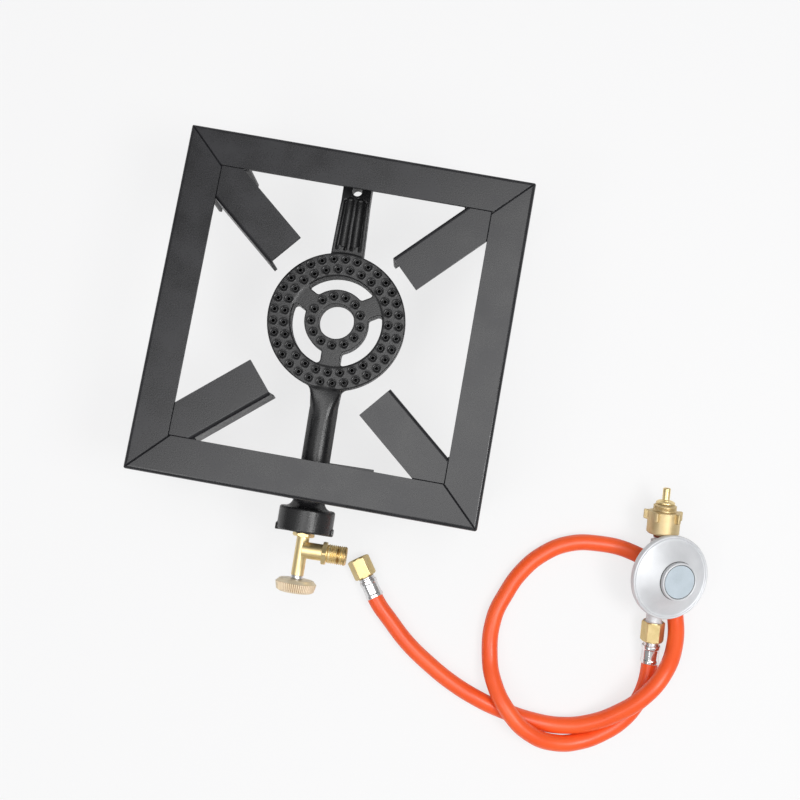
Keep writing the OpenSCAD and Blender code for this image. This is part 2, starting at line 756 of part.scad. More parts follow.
module valve_spindle() {
    needle = 1.2;
    color(steel) at_burner() difference() {
        union() {
            bar_y(2 * spindle_r, spindle_back, spindle_front);
            bar_y(4, spindle_front - margin, seat_y - 1.6);
            turned_y() polygon([[0, seat_y - 1.7], [2, seat_y - 1.7], [needle, seat_y - 0.3], [0, seat_y + 0.5]]);
            bar_y(stem_d, knob_front + 3, spindle_back + margin);
        }
        translate([0, ring_groove_y - ring_groove / 2, 0]) difference() {
            bar_y(body_d, 0, ring_groove);
            bar_y(2 * spindle_r - 2 * ring_section - 0.1, -margin, ring_groove + margin);
        }
        bar_y(2.5, knob_front, knob_front + 9);                 // thread for the knob's screw
    }
}

module spindle_o_ring() {
    r = body_bore / 2 - 0.03;
    color("#1c1c1c") at_burner() translate([0, ring_groove_y, 0]) rotate([90, 0, 0])
        rotate_extrude() translate([r - ring_section / 2, 0]) circle(d = ring_section, $fn = 20);
}

module valve_knob() {
    rear_r = knob_d / 2 - knob_chamfer;
    ridge = 0.45;
    knurl_length = knob_length - knob_chamfer;
    color("#d9b48c") at_burner() difference() {
        union() {
            turned_y(fine) polygon([[0, knob_rear], [rear_r, knob_rear], [knob_d / 2 - ridge, knob_rear - knob_chamfer],
                [knob_front_d / 2 - ridge, knob_front], [0, knob_front]]);
            translate([0, knob_rear - knob_chamfer, 0]) rotate([90, 0, 0])
                linear_extrude(knurl_length, scale = knob_front_d / knob_d)
                    polygon([for (i = [0:2 * knob_ridges - 1]) let (a = i * 180 / knob_ridges)
                        (knob_d / 2 - (i % 2) * ridge * 1.6) * [cos(a), sin(a)]]);
        }
        bar_y(stem_d + knob_play, knob_front + 3, knob_rear + margin);
        bar_y(2.7, knob_front - margin, knob_front + 4);
        bar_y(6.4, knob_front - margin, knob_front + 1.5);      // recess of the screw's head
    }
}

module knob_screw() {
    color(steel) at_burner() difference() {
        union() {
            bar_y(6, knob_front + 0.1, knob_front + 1.5);
            bar_y(2.5, knob_front + 1, knob_front + 8.5);
        }
        translate([-4, knob_front - margin, -0.4]) cube([8, margin + 0.8, 0.8]);
    }
}

// ---- hose ends: each is drawn along -Y from its nut's open end ----
module union_nut() {
    difference() {
        intersection() {
            hex_y(union_af, -union_length, 0);
            turned_y() polygon([[0, 0], [union_af / 2, 0], [union_af / 2 + 1.6, -1], [union_af / 2 + 1.6, 1 - union_length],
                [union_af / 2, -union_length], [0, -union_length]]);
        }
        bar_y(inlet_thread_d + thread_play, -union_thread, margin);
        bar_y(tail_nose + 1, nut_wall - union_length, 0);
        bar_y(tail_collar_d - 3 + 0.15, -union_length - margin, 0);
    }
}

module hose_tail() {
    collar_back = -union_length - tail_collar_length;
    difference() {
        union() {
            turned_y() polygon([[0, nut_wall - union_length + 5], [4, nut_wall - union_length + 5],
                [tail_nose / 2, nut_wall - union_length + 2], [tail_nose / 2, nut_wall - union_length + 0.3],
                [0, nut_wall - union_length + 0.3]]);
            bar_y(tail_collar_d - 3, -union_length - 0.4, nut_wall - union_length + 1);
            turned_y() polygon([[0, -union_length - 0.4], [tail_collar_d / 2 - 0.6, -union_length - 0.4],
                [tail_collar_d / 2, -union_length - 1], [tail_collar_d / 2, collar_back], [0, collar_back]]);
            bar_y(barb_d, collar_back - ferrule_length, collar_back + margin);
        }
        bar_y(5, collar_back - ferrule_length - margin, 0);
    }
}

module ferrule() {
    start = -union_length - tail_collar_length;
    end = start - ferrule_length;
    band = 3.5;
    waist = 0.4;
    difference() {
        turned_y() polygon([[0, start], [ferrule_d / 2, start], [ferrule_d / 2, start - band],
            [ferrule_d / 2 - waist, start - band - waist], [ferrule_d / 2 - waist, end + band + waist],
            [ferrule_d / 2, end + band], [ferrule_d / 2, end], [0, end]]);
        bar_y(hose_d + 0.15, end - margin, start + margin);
    }
}

module at_burner_nut() translate(burner_nut_front) rotate(burner_nut_heading + 90) children();

module at_regulator() {
    translate(regulator_place) rotate([0, 0, regulator_turns[2]]) rotate([regulator_turns[0], 0, 0])
        rotate([0, regulator_turns[1], 0]) children();
}

module at_outlet() at_regulator() translate([0, outlet_start, 0]) children();

module burner_end_nut() color(brass) at_burner_nut() union_nut();
module burner_end_tail() color(steel) at_burner_nut() hose_tail();
module burner_end_ferrule() color(steel) at_burner_nut() ferrule();
module outlet_nut() color(brass) at_outlet() rotate([0, outlet_nut_turn, 0]) union_nut();
module outlet_end_tail() color(steel) at_outlet() hose_tail();
module outlet_end_ferrule() color(steel) at_outlet() ferrule();

// ---- hose ----
function unit(v) = v / norm(v);
function on_burner_end(s) =
    burner_nut_front + s * [cos(burner_nut_heading), sin(burner_nut_heading), 0];
function on_pipe(s) =
    let (pitch = regulator_turns[0], heading = regulator_turns[2])
    regulator_place + s * [-sin(heading) * cos(pitch), cos(heading) * cos(pitch), sin(pitch)];

// the hose begins and ends against the tails' collars, inside the ferrules
tail_back = union_length + tail_collar_length;
hose_path = concat(
    [on_burner_end(tail_back), on_burner_end(tail_back + ferrule_length + hose_lead)],
    hose_run,
    [on_pipe(outlet_start - tail_back - ferrule_length - hose_lead), on_pipe(outlet_start - tail_back)]);

function way_at(path, i) =
    let (last = len(path) - 1,
         before = i == 0 ? [0, 0, 0] : unit(path[i] - path[i - 1]),
         after = i == last ? [0, 0, 0] : unit(path[i + 1] - path[i]))
    unit(before + after);

function ring_at(path, i, r) =
    let (way = way_at(path, i), side = unit(cross([0, 0, 1], way)), up = cross(way, side))
    [for (k = [0:hose_sides - 1]) let (a = k * 360 / hose_sides) path[i] + r * (cos(a) * side + sin(a) * up)];

module hose() {
    n = hose_sides;
    rings = len(hose_path);
    inner = n * rings;
    points = concat(
        [for (i = [0:rings - 1]) each ring_at(hose_path, i, hose_d / 2)],
        [for (i = [0:rings - 1]) each ring_at(hose_path, i, hose_bore / 2)]);
    walls = [for (i = [0:rings - 2], k = [0:n - 1]) let (a = i * n + k, b = i * n + (k + 1) % n)
        each [[a, b, b + n], [a, b + n, a + n],
              [inner + a, inner + b + n, inner + b], [inner + a, inner + a + n, inner + b + n]]];
    last = (rings - 1) * n;
    ends = [for (k = [0:n - 1]) let (m = (k + 1) % n)
        each [[k, inner + m, m], [k, inner + k, inner + m],
              [last + k, last + m, inner + last + m], [last + k, inner + last + m, inner + last + k]]];
    color(orange) polyhedron(points, concat(walls, ends));
}

// ---- regulator ----
module regulator_body() {
    thread_end = outlet_start - outlet_thread_length;
    flange = disc_rise - disc_wall;
    color(die_cast) at_regulator() difference() {
        union() {
            rotate_extrude($fn = fine) polygon([[0, body_bottom], [10, body_bottom], [18, body_bottom + 4],
                [disc_r - 6, flange - 2.4], [disc_r - 4.5, flange], [disc_r - 0.6, flange],
                [disc_r, flange + 0.6], [disc_r, disc_rise], [0, disc_rise]]);
            bar_y(boss_d, boss_start, boss_end);
            bar_y(outlet_d, outlet_start, boss_start + margin);
            bar_y(inlet_thread_d, thread_end, outlet_start);
        }
        rotate_extrude($fn = fine) polygon([[0, chamber_floor], [14, chamber_floor], [chamber_r, disc_rise - 2],
            [chamber_r, disc_rise - diaphragm_wall / 2], [diaphragm_r + 0.2, disc_rise - diaphragm_wall / 2],
            [diaphragm_r + 0.2, disc_rise + margin], [0, disc_rise + margin]]);
        translate([-6, -4, lever_floor]) cube([12, 21, chamber_floor + margin - lever_floor]);
        translate([0, -12, 0]) cylinder(d = 6, h = chamber_floor + margin);
        bar_y(7, thread_end - margin, -9.5);
        turned_y() polygon([[0, thread_end - 0.1], [5.2, thread_end - 0.1], [3.2, thread_end + 3], [0, thread_end + 3]]);
        bar_y(nipple_thread_d + 0.1, 16, boss_end);
        bar_y(shank_d + 4.2, shank_start - seal_wall, boss_end + margin);
        translate([0, pivot[0], pivot[1]]) bar_x(pin_d + 0.1, -9, 9);
    }
}

module regulator_cover() {
    cone_start = disc_r - 4;
    rim_top = disc_rise + 2;
    cone_top = disc_rise + cone_height;
    cap_r = cap_d / 2;
    ceiling = cone_top - cover_wall * 1.25;
    color(die_cast) at_regulator() difference() {
        union() {
            rotate_extrude($fn = fine) polygon(concat(
                [[0, disc_rise], [disc_r, disc_rise], [disc_r, rim_top]],
                arc([disc_r - 1.3, rim_top - 0.2], 1.3, 10, 170, 6),
                [[disc_r - 2.8, rim_top - 0.3], [cone_start, rim_top], [cap_r, cone_top], [0, cone_top]]));
            rotate_extrude($fn = fine) polygon([[0, cone_top - margin], [cap_r, cone_top - margin],
                [cap_r, cover_top - 1], [cap_r - 1, cover_top], [0, cover_top]]);
        }
        rotate_extrude($fn = fine) polygon([[0, disc_rise - margin], [diaphragm_r + 0.2, disc_rise - margin],
            [diaphragm_r + 0.2, disc_rise + diaphragm_wall / 2], [chamber_r, disc_rise + diaphragm_wall / 2],
            [cap_bore_r + 4.5, ceiling], [cap_bore_r, ceiling], [cap_bore_r, badge_floor], [0, badge_floor]]);
        translate([0, 0, badge_floor]) cylinder(d = badge_d + 0.2, h = cover_top, $fn = fine);
    }
}

module badge_disc() {
    color("#dfe7ee") at_regulator() translate([0, 0, badge_floor]) cylinder(d = badge_d, h = badge_wall, $fn = fine);
}

module diaphragm() {
    color("#3a3a3a") at_regulator() translate([0, 0, disc_rise - diaphragm_wall / 2]) difference() {
        cylinder(r = diaphragm_r, h = diaphragm_wall, $fn = fine);
        translate([0, 0, -margin]) cylinder(d = 5.3, h = diaphragm_wall + 2 * margin);
    }
}

module diaphragm_plate() {
    color(steel) at_regulator() {
        translate([0, 0, plate_top - plate_wall]) cylinder(d = 40, h = plate_wall);
        translate([0, 0, pivot[1] + 3.1]) cylinder(d = 5, h = plate_top - pivot[1] - 3.2);
    }
}

module regulator_spring() {
    steps = 12;
    sides = 6;
    count = spring_turns * steps;
    low = plate_top + spring_wire / 2;
    rise = spring_top - plate_top - spring_wire;
    points = [for (i = [0:count], k = [0:sides - 1])
        let (a = i * 360 / steps, b = k * 360 / sides, r = spring_r + spring_wire / 2 * cos(b))
        [r * cos(a), r * sin(a), low + rise * i / count + spring_wire / 2 * sin(b)]];
    walls = [for (i = [0:count - 1], k = [0:sides - 1]) let (a = i * sides + k, b = i * sides + (k + 1) % sides)
        each [[a, b + sides, b], [a, a + sides, b + sides]]];
    start = [for (k = [0:sides - 1]) k];
    end = [for (k = [0:sides - 1]) (count + 1) * sides - 1 - k];
    color(steel) at_regulator() polyhedron(points, concat(walls, [start, end]));
}

module spring_cap() {
    color(steel) at_regulator() translate([0, 0, spring_top]) difference() {
        cylinder(r = cap_bore_r - 0.1, h = spring_cap_wall);
        translate([0, 0, 1]) cylinder(d = 8 / cos(30), h = spring_cap_wall, $fn = 6);
    }
}

module valve_lever() {
    arm = 2;
    top = pivot[1] + 3;
    color(steel) at_regulator() difference() {
        union() {
            translate([-2, pivot[0] - 1.4, -3]) cube([4, arm, top + 3]);
            translate([-2, -3, top - arm]) cube([4, pivot[0] + 3, arm]);
            translate([0, pivot[0], pivot[1]]) bar_x(4.4, -2, 2);
        }
        translate([0, pivot[0], pivot[1]]) bar_x(pin_d + 0.1, -2 - margin, 2 + margin);
    }
}

module lever_pin() {
    color(steel) at_regulator() translate([0, pivot[0], pivot[1]]) bar_x(pin_d, -8.5, 8.5);
}

module valve_pad() {
    color("#222222") at_regulator() bar_y(5, pivot[0] + 0.6, nozzle_y - 0.1);
}

module inlet_nipple() {
    color(brass) at_regulator() difference() {
        turned_y() polygon([[0, nozzle_y], [1.6, nozzle_y], [2.6, nozzle_y + 2], [nipple_thread_d / 2, nozzle_y + 2.5],
            [nipple_thread_d / 2, shank_start], [shank_d / 2, shank_start], [shank_d / 2, probe_ring_start],
            [probe_ring_d / 2 - 0.4, probe_ring_start], [probe_ring_d / 2, probe_ring_start + 0.6],
            [probe_ring_d / 2, probe_start - 1.4], [probe_ring_d / 2 - 1.8, probe_start], [probe_d / 2 + 0.8, probe_start], [probe_d / 2, probe_start + 0.8],
            [probe_d / 2, probe_start + probe_length - 0.5], [probe_d / 2 - 0.5, probe_start + probe_length],
            [0, probe_start + probe_length]]);
        bar_y(3, nozzle_y + 1, probe_start + probe_length + margin);
        bar_y(1.4, nozzle_y - margin, nozzle_y + 2);
    }
}

module inlet_seal() {
    color("#7a2f20") at_regulator() difference() {
        bar_y(shank_d + 4, shank_start - seal_wall, shank_start);
        bar_y(nipple_thread_d + 0.1, shank_start - seal_wall - margin, shank_start + margin);
    }
}

module inlet_hand_nut() {
    wheel_r = hand_nut_d / 2;
    lugs = 5;
    color(brass) at_regulator() difference() {
        union() {
            turned_y() polygon([[0, hand_nut_start], [wheel_r - 1.2, hand_nut_start], [wheel_r, hand_nut_start + 1.2],
                [wheel_r, hand_nut_end - 0.6], [wheel_r - 0.6, hand_nut_end], [0, hand_nut_end]]);
            turned_y() polygon([[0, hand_nut_end - margin], [hand_thread_d / 2, hand_nut_end - margin],
                [hand_thread_d / 2, hand_thread_end - 1.4], [hand_thread_d / 2 - 1.4, hand_thread_end],
                [0, hand_thread_end]]);
            for (i = [0:lugs - 1]) rotate([0, -(first_lug + i * 360 / lugs), 0])
                translate([wheel_r - 2, hand_nut_end - lug_length, -lug_width / 2])
                    cube([lug_height + 2, lug_length, lug_width]);
        }
        bar_y(shank_d + 2 * spindle_clearance, hand_nut_start - margin, hand_thread_end + margin);
    }
}

rail(0);  // rail_front
rail(1);  // rail_right
rail(2);  // rail_back
rail(3);  // rail_left
leg(0);  // leg_back_right
leg(90);  // leg_back_left
leg(180);  // leg_front_left
leg(270);  // leg_front_right
support_arm(0);  // arm_back_right
support_arm(1);  // arm_back_left
support_arm(2);  // arm_front_left
support_arm(3);  // arm_front_right
tube_strap();
rear_bracket();
rear_bolt();
rear_washer();
burner_casting();
valve_locknut();
gas_jet();
valve_body();
gland_ring();
valve_spindle();
spindle_o_ring();
valve_knob();
knob_screw();
burner_end_nut();
burner_end_tail();
burner_end_ferrule();
outlet_nut();
outlet_end_tail();
outlet_end_ferrule();
hose();
regulator_body();
regulator_cover();
badge_disc();
diaphragm();
diaphragm_plate();
regulator_spring();
spring_cap();
valve_lever();
lever_pin();
valve_pad();
inlet_nipple();
inlet_seal();
inlet_hand_nut();
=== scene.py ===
# %% [markdown]
# # A gas burner stand with its hose and pressure regulator
# The CAD model gives the places and sizes of all parts. This notebook dresses it: every part
# gets the soft edges, the threads, the castings' skin and the finish of the real thing.

# %% Load the CAD frame
import json
import math

import bmesh
import bpy
import numpy as np
from mathutils import Matrix, Vector

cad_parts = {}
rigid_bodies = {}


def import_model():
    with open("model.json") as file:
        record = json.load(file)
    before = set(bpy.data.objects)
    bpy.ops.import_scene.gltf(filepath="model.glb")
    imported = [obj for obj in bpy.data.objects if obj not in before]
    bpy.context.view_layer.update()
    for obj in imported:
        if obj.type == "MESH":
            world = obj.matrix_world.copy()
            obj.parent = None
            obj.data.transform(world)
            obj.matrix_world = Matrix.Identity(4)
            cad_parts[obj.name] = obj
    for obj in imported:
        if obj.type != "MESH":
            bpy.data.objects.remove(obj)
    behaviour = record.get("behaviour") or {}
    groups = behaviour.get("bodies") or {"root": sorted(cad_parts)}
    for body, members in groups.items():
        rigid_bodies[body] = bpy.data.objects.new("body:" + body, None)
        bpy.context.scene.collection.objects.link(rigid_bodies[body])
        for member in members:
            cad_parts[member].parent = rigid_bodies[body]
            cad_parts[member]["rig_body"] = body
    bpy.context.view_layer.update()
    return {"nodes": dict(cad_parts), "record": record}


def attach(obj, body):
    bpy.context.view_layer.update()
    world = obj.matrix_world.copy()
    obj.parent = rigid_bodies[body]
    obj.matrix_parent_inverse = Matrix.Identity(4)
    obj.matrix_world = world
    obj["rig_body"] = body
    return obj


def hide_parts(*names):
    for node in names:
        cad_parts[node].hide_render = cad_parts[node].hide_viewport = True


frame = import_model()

MM = 0.001

# %% [markdown]
# ## Camera
# The stand lies under a camera that looks almost straight down from about 0.94 m. The three
# rows are the picture's right, down and forward directions, and the focal length in pixels
# becomes a lens on Blender's 36 mm sensor.

# %% Camera
frame_px = 800
focal_px = 963.0
camera_place = Vector((87.09, -80.80, 938.21)) * MM
view_right = Vector((0.984313, 0.176186, -0.009287))
view_down = Vector((0.174766, -0.980891, -0.085500))
view_forward = Vector((-0.024173, 0.082536, -0.996295))

camera_data = bpy.data.cameras.new("overhead_camera")
camera_data.sensor_width = 36
camera_data.lens = focal_px / frame_px * camera_data.sensor_width
camera = bpy.data.objects.new("overhead_camera", camera_data)
bpy.context.scene.collection.objects.link(camera)
camera.matrix_world = Matrix.Translation(camera_place) @ Matrix(
    (view_right, -view_down, -view_forward)).transposed().to_4x4()
bpy.context.scene.camera = camera
print("lens", round(camera_data.lens, 2), "mm at", list(camera_place))

# %% [markdown]
# ## Places
# The burner with its valve, the loose hose end and the regulator each have their own frame,
# as in the CAD source. All parts below are drawn in one of these frames, in millimetres, and
# the place is baked into the mesh, so that every object stays at the origin. What depends on
# the stand's size is read off the CAD parts.

# %% Frames of the burner, the hose end and the regulator
def frame_at(point, turns=(0, 0, 0)):
    """Place a frame at a point in mm, turned by degrees about Y, then X, then Z."""
    x, y, z = (math.radians(turn) for turn in turns)
    return (Matrix.Translation(Vector(point) * MM) @ Matrix.Rotation(z, 4, "Z")
            @ Matrix.Rotation(x, 4, "X") @ Matrix.Rotation(y, 4, "Y"))


def span_of(cad_node, where, axis):
    """Lowest and highest place of a CAD part in mm along an axis of a frame."""
    back = where.inverted()
    places = [(back @ vertex.co)[axis] / MM for vertex in frame["nodes"][cad_node].data.vertices]
    return min(places), max(places)


at_origin = Matrix.Identity(4)
frame_y = (span_of("rail_front", at_origin, 1)[0] + span_of("rail_back", at_origin, 1)[1]) / 2
at_stand = frame_at((0, frame_y, 0))
at_burner = frame_at((0, frame_y + 7.6, 92), (0, 0, 1.4))
burner_nut_front = Vector((51.5, -160.3, 9.6))
burner_nut_heading = -55
at_burner_nut = frame_at(burner_nut_front, (0, 0, burner_nut_heading + 90))
regulator_place = Vector((331.3, -121.5, 25.4))
at_regulator = frame_at(regulator_place, (9.4, 18.4, 5.5))
outlet_start = -47
at_outlet = at_regulator @ frame_at((0, outlet_start, 0), (0, 33, 0))
upright = frame_at((0, 0, 0), (90, 0, 0))
sideways = frame_at((0, 0, 0), (0, 0, -90))
print("burner axis", [round(v, 4) for v in at_burner.col[1][:3]])

# %% [markdown]
# ## Hose
# The hose is one smooth curve through the route of the CAD model, with a round section. A Bezier curve with
# automatic handles passes through every point, and its bevel depth makes the wall. It keeps its real length.

# %% Hose route and curve
hose_d = 15.2
burner_way = (at_burner_nut.to_3x3() @ Vector((0, -1, 0))).normalized()
outlet_way = (at_regulator.to_3x3() @ Vector((0, -1, 0))).normalized()
sleeves_end = 40        # from the front of a union nut to the end of the crimped sleeve
inside, straight = 17, 6        # how far the hose goes into the sleeve, and runs on straight
hose_run = [
    (91, -211, 8.5), (112, -230, 8), (136, -246, 8), (160, -259, 8), (186, -269, 9),
    (208, -275, 8), (242, -280, 8), (269, -279, 9), (293, -271, 14), (315, -256, 22.5),
    (333, -237, 31), (349, -212, 30.5), (358, -186, 19.5), (357, -160, 10.5), (349, -138, 8.5),
    (329, -117, 8), (307, -108, 8), (274, -106, 8), (248, -111, 8), (225, -125, 8),
    (207, -146, 8), (196, -169, 8), (189, -192, 9), (191, -229, 9.5), (198, -250, 16),
    (214, -272, 23), (237, -289, 21), (264, -295, 13.5), (288, -290, 9), (307, -279, 8.5),
    (323.5, -264, 8.5), (334, -246.5, 9), (339, -230, 9.5)]
hose_route = ([burner_nut_front + burner_way * s for s in (sleeves_end - inside, sleeves_end + straight)]
              + [Vector(point) for point in hose_run]
              + [regulator_place + outlet_way * (s - outlet_start)
                 for s in (sleeves_end + straight, sleeves_end - inside)])
hose_route = [point * MM for point in hose_route]

hose_curve = bpy.data.curves.new("orange_hose", "CURVE")
hose_curve.dimensions = "3D"
hose_curve.bevel_depth = hose_d / 2 * MM
hose_curve.bevel_resolution = 12
hose_curve.resolution_u = 10
hose_curve.use_fill_caps = True
spline = hose_curve.splines.new("BEZIER")
spline.bezier_points.add(len(hose_route) - 1)
for knot, point in zip(spline.bezier_points, hose_route):
    knot.co = point
    knot.handle_left_type = knot.handle_right_type = "AUTO"
hose = bpy.data.objects.new("orange_hose", hose_curve)
bpy.context.scene.collection.objects.link(hose)

# %% [markdown]
# ## Finishes
# Every finish is procedural: a Principled shader whose colour, roughness and bump come from
# noise in Object coordinates, so that it stays put on the part from any side. Values that
# are the same all over are set on the shader itself, because the export reads them there.

# %% A helper that builds a finish from two scales of noise
def finish(name, dark, light, blotch, grain, rough, bump=0.0, metal=0.0, hollow=None):
    """A node material: blotch and grain are noise scales per metre, rough is (low, high).

    hollow is a painted shade: the colour for the bottom of threads and knurls, mixed in by the depth mask
    that the turned pieces mark."""
    material = bpy.data.materials.new(name)
    material.use_nodes = True
    tree = material.node_tree
    link = tree.links.new
    shader = tree.nodes["Principled BSDF"]
    place = tree.nodes.new("ShaderNodeTexCoord")
    noises = []
    for scale, detail in ((blotch, 3), (grain, 6)):
        noise = tree.nodes.new("ShaderNodeTexNoise")
        noise.inputs["Scale"].default_value = scale
        noise.inputs["Detail"].default_value = detail
        link(place.outputs["Object"], noise.inputs["Vector"])
        noises.append(noise.outputs["Fac"])
    both = tree.nodes.new("ShaderNodeMath")
    both.operation = "MULTIPLY_ADD"
    both.inputs[1].default_value = 0.45
    link(noises[1], both.inputs[0])
    half = tree.nodes.new("ShaderNodeMath")
    half.operation = "MULTIPLY"
    half.inputs[1].default_value = 0.55
    link(noises[0], half.inputs[0])
    link(half.outputs[0], both.inputs[2])
    ramp = tree.nodes.new("ShaderNodeValToRGB")
    ramp.color_ramp.elements[0].position = 0.36
    ramp.color_ramp.elements[1].position = 0.66
    ramp.color_ramp.elements[0].color = (*dark, 1)
    ramp.color_ramp.elements[1].color = (*light, 1)
    link(both.outputs[0], ramp.inputs["Fac"])
    # painted shade: the hollows of threads and knurls are mixed towards the dark hollow colour by the turned
    # pieces' depth mask
    if hollow:
        hollow_shade_mask = tree.nodes.new("ShaderNodeAttribute")
        hollow_shade_mask.attribute_name = "hollow"
        hollow_shade_mix = tree.nodes.new("ShaderNodeMix")
        hollow_shade_mix.data_type = "RGBA"
        hollow_shade_mix.inputs["B"].default_value = (*hollow, 1)
        link(hollow_shade_mask.outputs["Fac"], hollow_shade_mix.inputs["Factor"])
        link(ramp.outputs["Color"], hollow_shade_mix.inputs["A"])
        link(hollow_shade_mix.outputs["Result"], shader.inputs["Base Color"])
    else:
        link(ramp.outputs["Color"], shader.inputs["Base Color"])
    spread = tree.nodes.new("ShaderNodeMapRange")
    spread.inputs["From Min"].default_value = 0.3
    spread.inputs["From Max"].default_value = 0.7
    spread.inputs["To Min"].default_value, spread.inputs["To Max"].default_value = rough
    link(both.outputs[0], spread.inputs["Value"])
    link(spread.outputs["Result"], shader.inputs["Roughness"])
    if bump:
        relief = tree.nodes.new("ShaderNodeBump")
        relief.inputs["Strength"].default_value = 1.0
        relief.inputs["Distance"].default_value = bump * MM
        link(noises[1], relief.inputs["Height"])
        link(relief.outputs["Normal"], shader.inputs["Normal"])
    shader.inputs["Metallic"].default_value = metal
    return material


# %% [markdown]
# ### Paints and castings
# The angle iron has a satin black paint over mill scale. The casting is dipped in a glossier
# paint that still shows the sand's grain. The regulator is a silver painted die casting.

# %% Paints
frame_paint = finish("satin_black_paint", (0.008, 0.008, 0.0095), (0.021, 0.021, 0.0245), 34, 800,
                     (0.18, 0.36), bump=0.04)
cast_paint = finish("cast_iron_paint", (0.009, 0.009, 0.010), (0.020, 0.020, 0.021), 60, 1100,
                    (0.20, 0.36), bump=0.12)
silver_paint = finish("silver_die_cast_paint", (0.65, 0.66, 0.68), (0.74, 0.75, 0.77), 70, 2600,
                      (0.42, 0.56), bump=0.012, metal=0.35)
print("paints:", frame_paint.name, cast_paint.name, silver_paint.name)

# %% [markdown]
# ### Brass, steel and rubber
# Turned brass is bright with fine tool marks, the knob is pinker, and the hand nut is cast
# and matt. Steel parts are zinc plated or bright crimped sleeves. The hose is a smooth
# orange rubber with a soft sheen.

# %% Metals, rubbers and small parts
# the hollow colours below are painted shade for thread roots and knurl valleys
brass = finish("machined_brass", (0.80, 0.62, 0.30), (0.90, 0.74, 0.42), 120, 1800, (0.32, 0.44),
               bump=0.01, metal=0.9, hollow=(0.42, 0.26, 0.09))
knob_brass = finish("pink_knob_brass", (0.94, 0.80, 0.56), (0.99, 0.88, 0.68), 120, 1500, (0.34, 0.46),
                    bump=0.01, metal=0.5, hollow=(0.52, 0.32, 0.18))
nut_brass = finish("drawn_hexagon_brass", (0.60, 0.46, 0.21), (0.74, 0.60, 0.32), 120, 1800, (0.34, 0.46),
                   bump=0.01, metal=0.9)
hand_nut_brass = finish("cast_matt_brass", (0.62, 0.48, 0.25), (0.73, 0.59, 0.35), 160, 2200, (0.42, 0.58),
                        bump=0.03, metal=0.8)
zinc = finish("zinc_plated_steel", (0.66, 0.67, 0.69), (0.80, 0.80, 0.81), 150, 1600, (0.20, 0.34),
              bump=0.006, metal=1.0)
crimp_steel = finish("bright_crimped_steel", (0.72, 0.72, 0.72), (0.86, 0.86, 0.86), 140, 1500,
                     (0.12, 0.24), bump=0.008, metal=1.0)
orange_rubber = finish("orange_hose_rubber", (0.88, 0.092, 0.016), (0.95, 0.125, 0.024), 35, 1400,
                       (0.30, 0.42), bump=0.015)
black_rubber = finish("nitrile_rubber", (0.012, 0.012, 0.012), (0.025, 0.025, 0.025), 200, 2500,
                      (0.55, 0.7), bump=0.02)
fibre = finish("pressed_fibre", (0.22, 0.05, 0.03), (0.34, 0.09, 0.05), 300, 3000, (0.7, 0.85), bump=0.04)
badge_foil = finish("plain_badge_foil", (0.46, 0.53, 0.58), (0.54, 0.61, 0.67), 90, 1500, (0.26, 0.40),
                    bump=0.01)
finish_of_slot = {
    "frame_paint": frame_paint, "cast_iron": cast_paint, "brass": brass, "knob_brass": knob_brass,
    "hand_nut_brass": hand_nut_brass, "zinc_steel": zinc, "crimp_steel": crimp_steel,
    "die_cast": silver_paint, "badge_plastic": badge_foil, "hose_rubber": orange_rubber,
    "black_rubber": black_rubber, "fibre": fibre}
print(len(finish_of_slot), "finishes")

# %% [markdown]
# Each CAD part takes the finish of its material slot first. The parts that stay inside, such
# as the spring and the diaphragm, keep their CAD shape, and the others are replaced below.

# %% Finishes on the CAD parts
slot_of = {part["node"]: part["material_slot"] for part in frame["record"]["subparts"]}
body_of = {node: body for body, members in frame["record"]["behaviour"]["bodies"].items()
           for node in members}
for node, part in frame["nodes"].items():
    part.data.materials.clear()
    part.data.materials.append(finish_of_slot[slot_of[node]])
print(len(slot_of), "CAD parts have their finish")


# %% [markdown]
# ## Helpers for the dressed pieces
# A dressed piece replaces its CAD part: it rides on the same body and takes the finish of the same slot.
# Its faces are shaded smooth up to a sharp angle, and the normals at a corner are weighed by
# the faces' areas, so that a flat face stays flat right up to its rounded edge.

# %% Settling a piece on its CAD part
def settle(piece, *stands_for, slot=None, body=None):
    """Give a piece its finish and its body, and hide the CAD parts it stands for."""
    node = stands_for[0] if stands_for else None
    slot = slot or slot_of[node]
    if piece.type == "MESH":
        piece.data.materials.clear()
    piece.data.materials.append(finish_of_slot[slot])
    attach(piece, body or body_of[node])
    if stands_for:
        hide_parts(*stands_for)
    count = len(piece.data.polygons) if piece.type == "MESH" else len(hose_route)
    print(piece.name, count, "faces" if piece.type == "MESH" else "route points")


def new_piece(name, mesh, sharp=32):
    """Link a mesh as an object at the origin, smooth up to a sharp angle in degrees."""
    mesh.shade_smooth()
    mesh.set_sharp_from_angle(angle=math.radians(sharp))
    piece = bpy.data.objects.new(name, mesh)
    bpy.context.scene.collection.objects.link(piece)
    weigh = piece.modifiers.new("flat faces", "WEIGHTED_NORMAL")
    weigh.mode = "FACE_AREA"
    weigh.keep_sharp = True
    weighed = bpy.data.meshes.new_from_object(piece.evaluated_get(bpy.context.evaluated_depsgraph_get()))
    piece.modifiers.remove(weigh)
    piece.data = weighed
    weighed.name = name
    return piece


def baked(piece, sharp=32):
    """Turn a piece with live modifiers into a plain mesh of the same name."""
    name = piece.name
    evaluated = piece.evaluated_get(bpy.context.evaluated_depsgraph_get())
    mesh = bpy.data.meshes.new_from_object(evaluated)
    bpy.data.objects.remove(piece)
    mesh.name = name
    return new_piece(name, mesh, sharp)


# %% [markdown]
# Turned parts come from an outline of (radius, place along Y) points that runs round the
# axis. Every corner of the outline is rounded a little, because a real edge always catches
# light. A shape function may change the radius by angle, for hexagons, knurls and threads.

